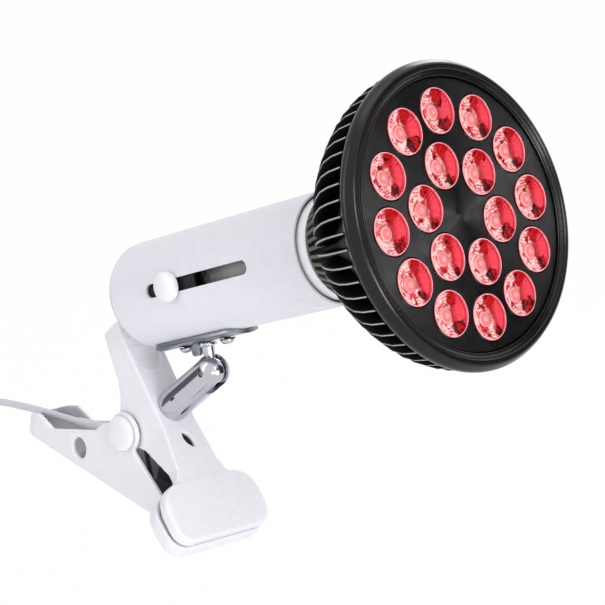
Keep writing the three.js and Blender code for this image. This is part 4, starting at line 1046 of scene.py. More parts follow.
def makePlug(values, end):
    x, y, z = end
    top = z - gap
    shoulder = top - values["length"] * values["shoulderShare"]
    base = top - values["length"]
    half, neck, deep = values["width"] / 2, values["neck"] / 2, values["depth"] / 2
    shape = [
        (x - neck, top, 0.8), (x - half, shoulder, 5), (x - half, base, 2),
        (x + half, base, 2), (x + half, shoulder, 5), (x + neck, top, 0.8),
    ]
    body = objectFrom(slabBmesh(roundOutline(shape, 6), y - deep, y + deep), "plugBody")
    soften(body, values["edge"], 5, 50)
    ribDeep, ribHigh = values["ribCut"]
    ribSize = (ribDeep, values["depth"] * values["ribWidthShare"], ribHigh)
    thick, wide = values["bladeThick"], values["bladeWidth"]
    slitSize = (thick + 2 * gap, wide + 2 * gap, 2 * values["slitDepth"])
    cuts = []
    for k in range(values["ribs"]):
        height = shoulder - values["ribStart"] - k * values["ribPitch"]
        cuts += [block(shift(x + side * half, y, height), ribSize) for side in (-1, 1)]
    for side in (-1, 1):
        cuts.append(block(shift(x + side * values["bladeSpacing"] / 2, y, base), slitSize))
    combine(body, "DIFFERENCE", *(meshFrom(cut, "cut") for cut in cuts))
    dress(body, "mouldedWhite")
    pieces = [fit(body, "rear", "white_plastic", "plug_body")]
    for name, node, side in (
        ("plugBladeLeft", "plug_blade_left", -1),
        ("plugBladeRight", "plug_blade_right", 1),
    ):
        high = base + values["bladeRoot"]
        low = base - values["bladeLength"]
        half, tip = wide / 2, values["bladeTip"]
        line = [(y - half, high, 0), (y - half, low, tip), (y + half, low, tip), (y + half, high, 0)]
        bladeX = x + side * values["bladeSpacing"] / 2
        place = Matrix(((0, -1, 0, bladeX), (1, 0, 0, 0), (0, 0, 1, 0), (0, 0, 0, 1)))
        blade = objectFrom(slabBmesh(roundOutline(line, 6), -thick / 2, thick / 2), name, place)
        soften(blade, 0.3, 2)
        dress(blade, "plainBrass")
        pieces.append(fit(blade, "rear", "brass", node))
    return pieces


plugPieces = makePlug(plugValues, cordEnd)
print("switch, tie and plug made")

mouldValues = {
    "voxel": 0.5,
    "evenPasses": 14,
    "shoePasses": 60,
    "keep": 0.45,
}


# A moulded body: the CAD form remeshed, with its edges rounded and its thick shoe rounded more
def mouldedBody(node, name, place, softPart, values):
    obj = cadCopy(node, name)
    remesh = obj.modifiers.new("even skin", "REMESH")
    remesh.mode = "VOXEL"
    remesh.voxel_size = values["voxel"] * mm
    settle(obj)
    group = obj.vertex_groups.new(name="softPart")
    inverse = inMetres(place).inverted()
    for vertex in obj.data.vertices:
        weight = softPart(inverse @ vertex.co)
        if weight > 0:
            group.add([vertex.index], weight, "REPLACE")
    for label, passes, part in (
        ("edges", values["evenPasses"], ""),
        ("shoe", values["shoePasses"], "softPart"),
    ):
        rounding = obj.modifiers.new("round " + label, "SMOOTH")
        rounding.factor = 0.5
        rounding.iterations = passes
        rounding.vertex_group = part
    thin = obj.modifiers.new("thin out", "DECIMATE")
    thin.ratio = values["keep"]
    settle(obj)
    obj.vertex_groups.clear()
    obj.data.shade_smooth()
    return obj


# Where each shoe starts to be soft, in its lever's frame, and over what run it gets so
shoeValues = {
    "frontFrom": (-17.0, 1.6),
    "rearFrom": (30.0, -2.5),
    "rearCentre": (48.5, -21.0),
    "rearLean": 32.4,
    "rearHalf": 20.0,
    "runs": (3.0, 1.5),
}


def softness(first, second):
    runs = shoeValues["runs"]
    return max(0, min(1, first / runs[0], second / runs[1]))


def frontSoft(p):
    x, z = shoeValues["frontFrom"]
    return softness(p.x - x, p.z - z)


# Below the rear shoe's rim
def rearSoft(p):
    lean = math.radians(shoeValues["rearLean"])
    x, z = p.x - shoeValues["rearCentre"][0], p.z - shoeValues["rearCentre"][1]
    along = x * math.cos(lean) - z * math.sin(lean)
    out = x * math.sin(lean) + z * math.cos(lean)
    start, rim = shoeValues["rearFrom"]
    return softness(p.x - start, rim - out) if abs(along) <= shoeValues["rearHalf"] else 0


# Painted shade: the channel between the jaws is dark with shade, so its inner faces are painted dark grey,
# and the handle's channel a paler painted grey
throatValues = {
    "frontHalf": 10.0,
    "frontHigh": 3.6,
    "frontRun": (-62.0, -8.0),
    "rearHalf": 10.8,
    "rearRun": (2.0, 48.0),
}


def facesInward(p, n, up):
    return n.y * p.y < 0 and abs(n.y) > 0.5 or n.z * up > 0.5


def frontThroat(p, n):
    low, high = throatValues["frontRun"]
    inside = abs(p.y) < throatValues["frontHalf"] and p.z < throatValues["frontHigh"] and low < p.x < high
    return 1 if inside and facesInward(p, n, -1) else 0


def rearThroat(p, n):
    low, high = throatValues["rearRun"]
    if not facesInward(p, n, 1) or abs(p.y) > throatValues["rearHalf"] or p.x > high:
        return 0
    return 1 if p.x > low else 2


for name, node, body, place, softPart, inThroat in (
    ("frontLever", "front_lever", "front", leverPlace, frontSoft, frontThroat),
    ("rearLever", "rear_lever", "rear", rearPlace, rearSoft, rearThroat),
):
    lever = mouldedBody(node, name, place, softPart, mouldValues)
    paint(lever.data, "mouldedWhite", "throatShade", "channelShade")
    inverse, unturned = inMetres(place).inverted(), place.to_3x3().inverted()
    # painted shade on the inner faces: index 1 between the jaws, index 2 in the handle's channel
    for polygon in lever.data.polygons:
        polygon.material_index = inThroat(inverse @ polygon.center, unturned @ polygon.normal)
    fit(lever, body, "white_plastic", node)
print("levers moulded")

for node, name, body in (("front_pad", "frontPad", "front"), ("rear_pad", "rearPad", "rear")):
    pad = soften(cadCopy(node, name), 0.5, 3)
    dress(pad, "gripRubber")
    fit(pad, body, "pad_rubber", node)

capValues = {"inner": 12.9, "radius": 8.1, "thick": 2.6, "dome": 0.5, "bore": 2.2, "boreDepth": 1.6}


def makeCap(name, node, side, values):
    inner, radius, bore = values["inner"], values["radius"], values["bore"]
    outer, dome, floor = inner + values["thick"], values["dome"], inner + values["boreDepth"]
    line = [
        (inner, bore), (inner, radius, 0.3), (outer - 0.2, radius, 1.2),
        (outer + dome * 0.6, radius * 0.55, 8), (outer + dome, 0), (floor, 0), (floor, bore), (inner, bore),
    ]
    cap = turned(name, line, 6, 64, pivotPlace @ turnZ(90 * side))
    dress(cap, "knobWhite")
    fit(cap, "front", "white_plastic", node)


makeCap("pivotCapNear", "pivot_cap_near", -1, capValues)
makeCap("pivotCapFar", "pivot_cap_far", 1, capValues)

springValues = {
    "wire": 1.0,
    "radius": 5.6,
    "turns": 4.75,
    "stepsATurn": 32,
    "start": -30.0,
    "pitch": 2.5,
    "leafBack": 32.4,
    "leafAside": 1.0,
    "faceWall": 2.6,
    "legReach": 32.0,
    "legDrop": 5.9,
    "hookEnd": 7.0,
}


def makeSpring(values):
    pivotX, pivotZ = -layout["pivotBack"], layout["pivotHeight"]
    wire, radius, turns, aside = values["wire"], values["radius"], values["turns"], values["leafAside"]
    half = turns * values["pitch"] / 2
    coil = []
    steps = round(turns * values["stepsATurn"])
    for i in range(steps + 1):
        share = i / steps
        a = math.radians(values["start"]) - share * turns * 2 * math.pi
        coil.append((pivotX + radius * math.cos(a), half - share * 2 * half, pivotZ + radius * math.sin(a)))
    face = layout["leverFace"] - values["faceWall"]
    tip = (-values["leafBack"] + wire, aside, face + values["faceWall"] / 2)
    bend = (-values["leafBack"] - wire, aside, face - 3 * wire)
    reach = (pivotX + values["legReach"], -half, pivotZ - values["legDrop"])
    across = (reach[0] + wire, values["hookEnd"], reach[2])
    leaf = [*straight(tip, bend, 4), *straight(bend, coil[0], 10)[1:-1]]
    leg = [*straight(coil[-1], reach, 12)[1:], *straight(reach, across, 8)[1:]]
    spring = objectFrom(tubeBmesh([*leaf, *coil, *leg], wire, 12), "torsionSpring", leverPlace)
    dress(spring, "darkWire", degrees=60)
    fit(spring, "front", "dark_spring_steel", "torsion_spring")


makeSpring(springValues)
print("clip dressed")

barrelValues = {
    "radius": 7.5,
    "chamfer": 0.5,
    "domeSteps": 16,
    "bore": 4.4,
    "boreOver": 3.0,
    "slotBelow": 7.6,
    "slotHalf": 2.7,
    "pinHole": 1.8,
    "slitHeight": 9.0,
    "slitLength": 3.2,
    "slitWidth": 1.0,
    "edge": 0.35,
}


def makeBarrel(values):
    base, pin, radius = layout["leverFace"] + gap, layout["pinHeight"], values["radius"]
    line = [(base, 0), (base, radius - values["chamfer"]), (base + values["chamfer"], radius)]
    line.append((pin * 0.6 + base * 0.4, radius))
    steps = values["domeSteps"]
    for k in range(steps + 1):
        a = math.pi / 2 * k / steps
        line.append((pin + radius * math.sin(a), radius * math.cos(a) if k < steps else 0))
    barrel = turned("swivelBarrel", line, 0, 96, barrelPlace @ xToZ)
    slotBottom, over = pin - values["slotBelow"], values["boreOver"]
    slitLow = base + values["slitHeight"]
    slit = rectangle(0, values["slitWidth"], slitLow, slitLow + values["slitLength"])
    bore = rod(base - over, slotBottom + over, values["bore"], 48)
    slot = slabBmesh(rectangle(-14, 14, slotBottom, pin + 20), -values["slotHalf"], values["slotHalf"])
    combine(
        barrel,
        "DIFFERENCE",
        meshFrom(bore, "bore", barrelPlace @ xToZ),
        meshFrom(slot, "slot", barrelPlace),
        meshFrom(slabBmesh(slit, -radius - over, -values["bore"]), "slit", barrelPlace),
        meshFrom(rod(-12, 12, values["pinHole"], 32), "pinHole", knucklePlace @ xToY),
    )
    soften(barrel, values["edge"], 3, 40)
    dress(barrel, "polishedChrome", degrees=30)
    fit(barrel, "swivel", "chrome", "swivel_barrel")


makeBarrel(barrelValues)

pinValues = {"radius": 1.6, "half": 6.9, "corner": 0.4}


def makePin(values):
    half, radius, corner = values["half"], values["radius"], values["corner"]
    line = [(-half, 0), (-half, radius, corner), (half, radius, corner), (half, 0)]
    pin = turned("knucklePin", line, 4, 32, knucklePlace @ xToY)
    dress(pin, "zincSteel")
    fit(pin, "swivel", "steel", "knuckle_pin")


makePin(pinValues)

tubeValues = {
    "radius": 24.0,
    "wall": 1.2,
    "back": 34.8,
    "front": 92.7,
    "round": 6.5,
    "lip": 0.35,
    "slotFromBack": 30.0,
    "slotLength": 67.2,
    "slotWidth": 6.0,
    "slotSteps": 24,
    "sides": 192,
    "edge": 0.25,
}
bracketValues = {
    "saddleThick": 1.8,
    "saddleLength": 57.0,
    "saddleHalfAngle": 21.0,
    "saddleSteps": 24,
    "endStations": (0, 0.4, 1.2, 2.4),
    "screwSpacing": 28.0,
    "lug": {"back": 10.6, "length": 5.6, "thick": 1.5, "drop": 5.2, "corner": 1.6, "sunk": 0.4},
    "eye": {
        "radius": 5.8, "flat": 2.4, "neck": 2.4, "hole": 1.8,
        "flange": 4.4, "flangeThick": 1.5, "thread": 0.8,
    },
    "screw": {"head": 3.5, "thick": 2.6, "shank": 1.7, "thread": 0.7, "washer": 0.6, "cross": (0.75, 1.7)},
    "hole": 0.3,
    "edge": 0.3,
}
tubeBottom = layout["axisHeight"] - tubeValues["radius"]
saddleBottom = tubeBottom - gap - bracketValues["saddleThick"]
screwX = bracketValues["screwSpacing"] / 2
# Along the tube: where the stud and the two screws pass, and how wide
boltHoles = [
    (x, bracketValues[part][size] + bracketValues["hole"])
    for x, part, size in ((-screwX, "screw", "shank"), (0, "eye", "neck"), (screwX, "screw", "shank"))
]


def threadLine(start, end, pitch, radius, depth):
    line = []
    for k in range(int((end - start) / pitch)):
        line += [(start + k * pitch + 0.1, radius - depth), (start + k * pitch + 0.4, radius)]
    return line


def makeStud(values):
    eye = values["eye"]
    flat, radius, neck = eye["flat"], eye["radius"], eye["neck"]
    line = [(-flat, 0), (-flat, radius, 1.3), (flat, radius, 1.3), (flat, 0)]
    stud = turned("eyeStud", line, 6, 64, headPlace @ xToY)
    top = saddleBottom - gap
    inside = tubeBottom + tubeValues["wall"] + 3.6
    low = top - eye["flangeThick"]
    shank = [
        (1.0, 0), (1.0, neck), (radius - 0.4, neck, 1.2), (low, neck + 0.5, 0.6),
        (low, eye["flange"], 0.3), (top, eye["flange"], 0.3), (top, neck, 0),
    ]
    thread = threadLine(top, inside, eye["thread"], neck, 0.35)
    bm = latheBmesh([*roundCorners(shank, 3), *thread, (inside, neck - 0.4), (inside, 0)], 40)
    combine(stud, "UNION", meshFrom(bm, "shank", headPlace @ xToZ))
    combine(stud, "DIFFERENCE", meshFrom(rod(-9, 9, eye["hole"], 32), "hole", headPlace @ xToY))
    dress(stud, "polishedChrome", degrees=30)
    fit(stud, "head", "chrome", "eye_stud")


# A curved strip with rounded ends, where it narrows as a half ellipse, and a lug below
def makeSaddle(values):
    inner = tubeValues["radius"] + gap
    outer = inner + values["saddleThick"]
    reach = math.radians(values["saddleHalfAngle"])
    half = values["saddleLength"] / 2
    endRun = outer * math.sin(reach) / 2 + 0.2
    fromEnd = (*values["endStations"], endRun)
    stations = []
    for x in [*(-half + run for run in fromEnd), 0, *(half - run for run in fromEnd[::-1])]:
        past = max(abs(x) - (half - endRun), 0) / endRun
        stations.append((x, reach * math.sqrt(max(1 - min(past, 0.9999) ** 2, 0.0001))))
    strip = stripBmesh(stations, (inner, outer), -math.pi / 2, values["saddleSteps"])
    saddle = objectFrom(strip, "bracketSaddle", tubePlace)
    lug = values["lug"]
    back, front, corner = -lug["back"], -lug["back"] + lug["length"], lug["corner"]
    high, low = saddleBottom + lug["sunk"], saddleBottom - lug["drop"]
    lugLine = [(back, high, 0), (back, low, corner), (front, low, corner), (front, high, 0)]
    lugBm = slabBmesh(roundOutline(lugLine, 5), -lug["thick"] / 2, lug["thick"] / 2)
    combine(saddle, "UNION", meshFrom(lugBm, "lug", headPlace))
    for x, radius in boltHoles:
        hole = rod(0, 30, radius, 24)
        combine(saddle, "DIFFERENCE", meshFrom(hole, "hole", headPlace @ shift(x, 0, 0) @ xToZ))
    soften(saddle, values["edge"], 2, 40)
    dress(saddle, "zincSteel", degrees=30)
    fit(saddle, "head", "steel", "bracket_saddle")


# Pan head with a cross recess over a thin dark washer
def makeBracketScrew(name, node, x, values):
    size = values["screw"]
    head, shank, pitch = size["head"], size["shank"], size["thread"]
    top = saddleBottom - gap
    low = top - size["thick"]
    line = [
        (low, 0), (low + 0.3, head * 0.62, 1.6), (top - 0.9, head * 0.96, 0.8), (top - 0.55, head * 0.9, 0),
        (top - 0.5, head, 0), (top, head, 0.1), (top, shank, 0),
    ]
    high = tubeBottom + tubeValues["wall"] + 1.0
    thread = threadLine(top, high, pitch, shank, 0.3)
    bm = latheBmesh([*roundCorners(line, 5), *thread, (high, shank - 0.4), (high, 0)], 40)
    screw = objectFrom(bm, name, headPlace @ shift(x, 0, 0) @ xToZ)
    for turn in (20, 110):
        bar = block(turnZ(turn), (size["cross"][0], head * 1.15, size["cross"][1]))
        combine(screw, "DIFFERENCE", meshFrom(bar, "cross", headPlace @ shift(x, 0, low)))
    dress(screw, "polishedChrome", "darkWasher", degrees=30)
    inverse = inMetres(headPlace).inverted()
    for polygon in screw.data.polygons:
        if (inverse @ polygon.center).z > top - size["washer"]:
            polygon.material_index = 1
    fit(screw, "head", "chrome", node)


makeStud(bracketValues)
makeSaddle(bracketValues)
makeBracketScrew("bracketScrewRear", "bracket_screw_rear", -screwX, bracketValues)
makeBracketScrew("bracketScrewFront", "bracket_screw_front", screwX, bracketValues)
print("swivel and bracket made")


def makeTube(values):
    radius, wall = values["radius"], values["wall"]
    inner = radius - wall
    back, front, lip = -values["back"], values["front"], values["lip"]
    line = [
        (back, 0), (back, radius, values["round"]), (front, radius, lip), (front, inner, lip),
        (back + wall, inner, values["round"] - wall), (back + wall, 0),
    ]
    tube = turned("shadeTube", line, 10, values["sides"], tubePlace)
    half, steps = values["slotWidth"] / 2, values["slotSteps"]
    start = back + values["slotFromBack"]
    outline = []
    for x, first in ((start + half, math.pi / 2), (start + values["slotLength"] - half, -math.pi / 2)):
        angles = [first + math.pi * k / steps for k in range(steps + 1)]
        outline += [(x + half * math.cos(a), half * math.sin(a)) for a in angles]
    cutters = [meshFrom(slabBmesh(outline, -radius - 3, -radius / 2), "slot", tubePlace)]
    for x, hole in boltHoles:
        cutters.append(meshFrom(rod(-30, -15, hole, 24), "hole", tubePlace @ shift(x, 0, 0) @ xToZ))
    combine(tube, "DIFFERENCE", *cutters)
    soften(tube, values["edge"], 2, 50)
    dress(tube, "powderCoat", "mattBlack", degrees=30)
    # Painted shade: the tube's inner wall is painted matt black for the deep shade inside the tube
    inverse = inMetres(tubePlace).inverted()
    for polygon in tube.data.polygons:
        p = inverse @ polygon.center
        if math.hypot(p.y, p.z) < inner + gap and p.x > back + wall / 2:
            polygon.material_index = 1
    fit(tube, "head", "white_paint", "shade_tube")


makeTube(tubeValues)

knobValues = {
    "along": 11.5,
    "inner": 24.3,
    "radius": 6.6,
    "thick": 4.2,
    "edge": 1.4,
    "shank": 2.4,
    "reach": 15.0,
}
knobPlace = tubePlace @ shift(knobValues["along"], 0, 0) @ turnZ(-90)


def makeKnob(values):
    inner, radius, shank, reach = values["inner"], values["radius"], values["shank"], values["reach"]
    outer = inner + values["thick"]
    line = [
        (reach, 0), (reach, shank), (inner, shank), (inner, radius - 0.2, 0.2), (inner + 0.8, radius, 0.5),
        (outer - 0.9, radius, 1.3), (outer + 0.1, radius * 0.6, 9), (outer + values["edge"] / 3, 0),
    ]
    knob = turned("slideKnob", line, 6, 72, knobPlace)
    dress(knob, "knobWhite", degrees=40)
    fit(knob, "knob", "white_plastic", "slide_knob")


makeKnob(knobValues)

slideValues = {
    "outer": 22.5,
    "thick": 1.2,
    "low": -8.3,
    "length": 35.0,
    "halfAngle": 20.0,
    "steps": 16,
    "knobHole": 2.7,
    "edge": 0.25,
}


def makeSlidePlate(values):
    low, reach = values["low"], math.radians(values["halfAngle"])
    radii = (values["outer"] - values["thick"], values["outer"])
    strip = stripBmesh([(low, reach), (low + values["length"], reach)], radii, math.pi, values["steps"])
    plate = objectFrom(strip, "slidePlate", tubePlace)
    combine(plate, "DIFFERENCE", meshFrom(rod(15, 30, values["knobHole"], 24), "hole", knobPlace))
    soften(plate, values["edge"], 2, 50)
    dress(plate, "mattBlack")
    fit(plate, "holder", "black_plastic", "slide_plate")


makeSlidePlate(slideValues)

socketValues = {
    "low": 3.7,
    "bodyLength": 19.0,
    "radius": 18.0,
    "groove": 0.6,
    "grooveFrom": 8.0,
    "grooveTo": 6.5,
    "skirtLength": 32.7,
    "skirtWall": 3.2,
    "boss": 5.5,
    "bossFrom": 9.0,
    "bossReach": 20.3,
    "bore": 2.6,
    "boreFrom": 14.7,
    "boreTo": 26.0,
}


def makeSocket(values):
    low, radius = values["low"], values["radius"]
    mid, neck = low + values["bodyLength"], radius - values["groove"]
    start, end = mid - values["grooveFrom"], mid - values["grooveTo"]
    line = [
        (low, 0), (low, radius * 0.8, 1), (low + 2.2, radius, 1.2), (start, radius, 0.3), (start, neck, 0.2),
        (end, neck, 0.2), (end, radius, 0.3), (mid, radius, 0.3), (mid, 0),
    ]
    body = turned("socketBody", line, 4, 96, tubePlace)
    boss = rod(values["bossFrom"], values["bossReach"], values["boss"], 40)
    bore = rod(values["boreFrom"], values["boreTo"], values["bore"], 32)
    combine(body, "UNION", meshFrom(boss, "boss", knobPlace))
    combine(body, "DIFFERENCE", meshFrom(bore, "bore", knobPlace))
    dress(body, "mattBlack")
    fit(body, "holder", "black_plastic", "socket_body")

    low = mid + gap
    high = low + values["skirtLength"]
    inner = radius - values["skirtWall"]
    line = [(low, inner, 0), (low, radius, 0.5), (high, radius, 1.2), (high, inner, 0.8), (low, inner, 0)]
    skirt = turned("socketSkirt", line, 6, 96, tubePlace)
    # painted shade along the tube, dark at the back and pale at the mouth
    dress(skirt, "glazedPorcelain")
    fit(skirt, "holder", "porcelain", "socket_skirt")


makeSocket(socketValues)
print("tube and socket made")

bulbValues = {
    "radius": 60.5,
    "bezelFront": 1.5,
    "bezelLength": 7.4,
    "bezelWidth": 7.0,
    "bezelLip": 3.1,
    # the bezel's section, as (behind its front, inside its rim, corner): the round shoulder, then two grooves
    "bezelFace": [
        (3.4, 0, 3.5), (0.7, 1.8, 1.6), (0.15, 2.9, 0.4), (0.4, 3.05, 0.08), (0.4, 3.3, 0.08),
        (0.02, 3.45, 0.1), (0, 4.0, 0.4), (0.5, 4.6, 0.1), (0.75, 4.65, 0.06), (0.85, 4.85, 0.06),
        (0.7, 5.0, 0.1),
    ],
    # and at its bore, as (behind its front, outside its bore, corner)
    "bezelBore": [(1.6, 0.6, 0.5), (1.25, 0.35, 0.15), (1.5, 0, 0.15)],
    "plateBack": 0.8,
    "plateThick": 2.0,
    "plateChamfer": 0.4,
    "plateRings": 10,
    "holeClear": 0.25,
    "holeFlare": 0.7,
    "flareDepth": 0.35,
}


def makeBezel(values):
    front, outer, lip = values["bezelFront"], values["radius"], values["radius"] - values["bezelLip"]
    inner = outer - values["bezelWidth"]
    back = front - values["bezelLength"]
    seat = -values["plateBack"] - values["plateThick"] - gap
    line = [
        (back, lip, 0), (back, outer - 1.3, 0.5), (back + 2.0, outer, 2.5),
        *((front - behind, outer - inside, corner) for behind, inside, corner in values["bezelFace"]),
        *((front - behind, inner + outside, corner) for behind, outside, corner in values["bezelBore"]),
        (seat, inner, 0), (seat, lip, 0), (back, lip, 0),
    ]
    bezel = turned("bezelRing", line, 8, 192, bulbPlace)
    dress(bezel, "blackAnodised", degrees=38)
    fit(bezel, "bulb", "black_anodised", "bezel_ring")


makeBezel(bulbValues)

lensValues = {
    # count, ring radius and first angle
    "rings": [(12, 40.4, 3.6), (6, 20.3, 48.3)],
    "radius": 9.05,
    "rim": 0.45,
    "top": -0.25,
    "depth": 6.0,
    "backRadius": 5.0,
    "sides": 56,
    # the bowl and the dome: drop, size, share of the dome's offset, wave and half step
    "bowl": [(0.55, 0.78, 0.2, 0.12, 1), (0.95, 0.58, 0.6, 0.16, 0)],
    "dome": [(1.2, 1.0), (0.8, 0.93), (0.5, 0.7), (0.35, 0.35)],
    "domeTop": 0.3,
}
lensCentres = []
for count, ring, phase in lensValues["rings"]:
    angles = [math.radians(phase + 360 * k / count) for k in range(count)]
    lensCentres += [(0, ring * math.cos(a), ring * math.sin(a)) for a in angles]


# A fine disc with a hole for each lens; its UV runs round the axis
def makeFacePlate(values, lenses):
    high = -values["plateBack"]
    low = high - values["plateThick"]
    radius = values["radius"] - values["bezelWidth"] - gap
    edge, rings = values["plateChamfer"], values["plateRings"]
    line = [(low, 0), (low, radius), (high - edge, radius), (high, radius - edge)]
    line += [(high, (radius - edge) * (1 - k / rings)) for k in range(1, rings)]
    plate = turned("facePlate", [*line, (high, 0)], 0, 144, bulbPlace)
    hole, deep = lenses["radius"] + values["holeClear"], values["flareDepth"]
    flare = [(high - deep, hole), (high + deep, hole + values["holeFlare"]), (high + deep, 0)]
    unit = meshFrom(latheBmesh([(low - 2, 0), (low - 2, hole), *flare], 48), "hole", scale=1)
    cutters = takeMesh(repeatAt("lensHoles", unit, lensCentres, "brushedFace"))
    cutters.transform(inMetres(bulbPlace))
    combine(plate, "DIFFERENCE", cutters)
    mesh = plate.data
    around = mesh.uv_layers.new(name="around")
    inverse = inMetres(bulbPlace).inverted()
    for polygon in mesh.polygons:
        middle = inverse @ polygon.center
        base = math.atan2(middle.z, middle.y)
        for loop in polygon.loop_indices:
            p = inverse @ mesh.vertices[mesh.loops[loop].vertex_index].co
            angle = math.atan2(p.z, p.y) if p.y or p.z else base
            angle -= 2 * math.pi * round((angle - base) / (2 * math.pi))
            around.data[loop].uv = (angle / (2 * math.pi), math.hypot(p.y, p.z) / radius)
    dress(plate, "brushedFace", degrees=30)
    fit(plate, "bulb", "black_anodised", "face_plate")


makeFacePlate(bulbValues, lensValues)


# One optic: a thin rim, a shallow faceted bowl round a low off-centre dome, closed behind
def makeOpticUnit(values):
    radius, sides, top, depth = values["radius"], values["sides"], values["top"], values["depth"]
    domeX, domeY = (c * radius for c in lensLook["dome"])
    domeRadius = lensLook["domeRadius"] * radius
    bm = bmesh.new()

    def ring(height, size, offset=0.0, wave=0.0, half=0):
        spots = []
        for k in range(sides):
            a = 2 * math.pi * (k + half / 2) / sides
            lift = wave * (1 if (k // 2 + half) % 2 else -1) * (0.4 if k % 2 else 1)
            y, z = domeX * offset + size * math.cos(a), domeY * offset + size * math.sin(a)
            spots.append(bm.verts.new((height + lift, y, z)))
        return spots

    rim = radius - values["rim"]
    rings = [
        ring(-depth, values["backRadius"]),
        ring(top - 0.3, radius),
        ring(top, radius - 0.15),
        ring(top, rim),
        ring(top - 0.35, rim - 0.15),
        *(ring(top - drop, radius * size, *rest) for drop, size, *rest in values["bowl"]),
        *(ring(top - drop, domeRadius * size, 1.0, 0.0, 1) for drop, size in values["dome"]),
    ]
    tip = bm.verts.new((top - values["domeTop"], domeX, domeY))
    backTip = bm.verts.new((-depth, 0, 0))
    for row, (first, second) in enumerate(zip(rings, rings[1:])):
        for k in range(sides):
            m = (k + 1) % sides
            corners = [(first[k], first[m], second[m], second[k])]
            if 3 < row < 7:
                corners = [(first[k], first[m], second[m]), (first[k], second[m], second[k])]
            for face in [bm.faces.new(corner) for corner in corners]:
                face.material_index = 2 if row < 1 else 1 if row < 3 else 0
                face.smooth = not 3 < row < 6
    for k in range(sides):
        m = (k + 1) % sides
        bm.faces.new((rings[-1][k], rings[-1][m], tip)).smooth = True
        bm.faces.new((rings[0][m], rings[0][k], backTip)).material_index = 2
    mesh = meshFrom(bm, "opticUnit", scale=1)
    # UV in the lens's plane: X to the right as the bulb is faced, Y up
    flat = mesh.uv_layers.new(name="lensFace")
    for loop in mesh.loops:
        p = mesh.vertices[loop.vertex_index].co
        flat.data[loop.index].uv = (0.5 + p.y / (2 * radius), 0.5 + p.z / (2 * radius))
    for name in ("litRedOptic", "lensRim", "lensSide"):
        mesh.materials.append(finishes[name])
    return mesh


lensArray = repeatAt("lensArray", makeOpticUnit(lensValues), lensCentres, "litRedOptic")
lensArray.data.transform(inMetres(bulbPlace))
fit(lensArray, "bulb", "red_lens", *[f"lens_{k:02d}" for k in range(1, 19)])

# Outlines as (behind the lens plane, from the axis)
sinkValues = {
    "core": [(-8, 54.0), (-13.5, 52.0), (-24, 43.5), (-44, 27.5), (-56.5, 23.2), (-66, 20.8)],
    "coreCorner": 1.5,
    "bore": 16.5,
    "boreEnd": -20.0,
    "fin": [
        (-6.2, 44), (-6.2, 59.2), (-13.5, 58.4), (-20, 56.2), (-28, 51.2), (-36, 45.2), (-43, 39.0),
        (-47.2, 33.8), (-48.4, 31.0), (-48.4, 20),
    ],
    "finCorner": 2.5,
    "finCount": 60,
    "finThick": 1.1,
    "neckFin": [(-46, 20), (-46, 31.4), (-52, 29.4), (-58, 26.6), (-63, 24.0), (-65.6, 22.4), (-65.6, 19)],
    "neckFinCount": 48,
    "neckFinThick": 1.54,
    "soften": 0.27,
    "cutFrom": 22.0,  # fin edges further out than this are bare metal
}


def finUnit(outline, thick, cutFrom, *names):
    mesh = meshFrom(slabBmesh(outline, -thick / 2, thick / 2), "finUnit", scale=1)
    for name in names:
        mesh.materials.append(finishes[name])
    for polygon in mesh.polygons:
        normal = polygon.normal
        outward = abs(normal.y) < 0.5 and normal.z > 0.25 and polygon.center.z > cutFrom
        polygon.material_index = 1 if outward and len(names) > 1 else 0
    return mesh


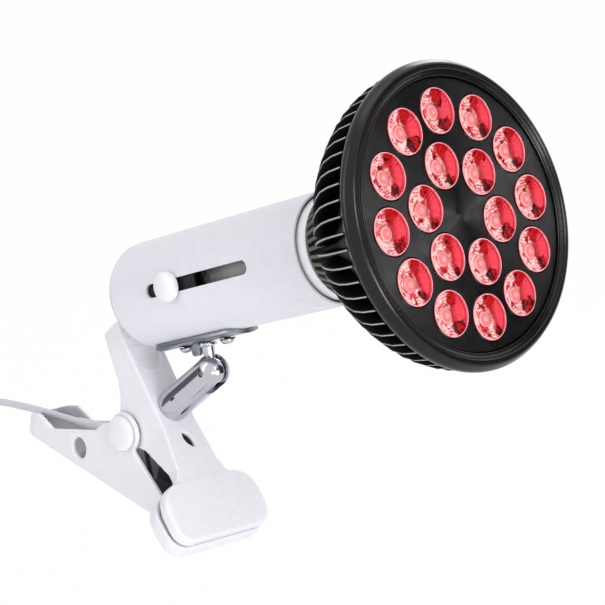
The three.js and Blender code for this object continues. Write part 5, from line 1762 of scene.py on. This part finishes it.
def makeHeatSink(values):
    (front, _), (back, _) = values["core"][0], values["core"][-1]
    bore, end, corner = values["bore"], values["boreEnd"], values["coreCorner"]
    line = [(front, 0), *values["core"], (back, bore), (end, bore), (end, 0)]
    line = [(x, radius, corner if 1 < k < 6 else 0) for k, (x, radius) in enumerate(line)]
    sink = turned("heatSink", line, 4, 144, bulbPlace)
    dress(sink, "finBlack")
    last, corner = len(values["fin"]) - 3, values["finCorner"]
    outline = [(x, z, corner if 1 < k < last else 0) for k, (x, z) in enumerate(values["fin"])]
    mainFin = roundOutline(outline, 4)
    for name, shape, count, thick, coats in (
        ("finRow", mainFin, values["finCount"], values["finThick"], ("finBlack", "cutAluminium")),
        ("neckFinRow", values["neckFin"], values["neckFinCount"], values["neckFinThick"], ("neckGrey",)),
    ):
        unit = finUnit(shape, thick, values["cutFrom"], *coats)
        row = repeatAt(name, unit, [(0, 0, 0)] * count, coats[0], 2 * math.pi / count)
        row.data.transform(inMetres(bulbPlace))
        soften(row, values["soften"], 2, 30, 0)
        fit(row, "bulb", "black_anodised")
    fit(sink, "bulb", "black_anodised", "heat_sink")


makeHeatSink(sinkValues)

collarValues = {
    "low": 55.9,
    "high": 97.4,
    "flare": 20.0,
    "shell": 13.2,
    "radius": 22.1,
    "wall": 2.0,
    "spigot": 11.5,
    "spigotLength": 10.0,
}


def makeCollar(values):
    low, high, radius, wall = values["low"], values["high"], values["radius"], values["wall"]
    flare, spigot, end = high - values["flare"], values["spigot"], low - values["spigotLength"]
    middle, shell = (low + flare) / 2, values["shell"]
    line = [
        (end, spigot - wall, 0), (end, spigot, 0.3), (low, spigot, 0.2), (low, shell, 0.4),
        (middle, shell + 1, 6), (flare, radius, 8), (high, radius, 0.3), (high, radius - wall, 0.3),
        (flare, radius - wall, 8), (middle, shell - 1, 6), (low, spigot - wall, 0.3), (end, spigot - wall, 0),
    ]
    collar = turned("neckCollar", line, 8, 96, tubePlace)
    dress(collar, "knobWhite")
    fit(collar, "bulb", "white_plastic", "neck_collar")


makeCollar(collarValues)
print("bulb made")

# CAD nodes that stay as they are
keptFinishes = {
    "zincSteel": ("pivot_pin", "swivel_bolt", "stud_nut"),
    "plainBrass": ("socket_shell", "socket_contact", "cap_tip", "cap_shell"),
    "mattBlack": ("cap_insulator",),
    "solderMask": ("led_board",),
    "circuitGreen": ("driver_board",),
}
for finish, nodes in keptFinishes.items():
    for node in nodes:
        paint(cadNodes[node].data, finish)
print("kept pieces finished")
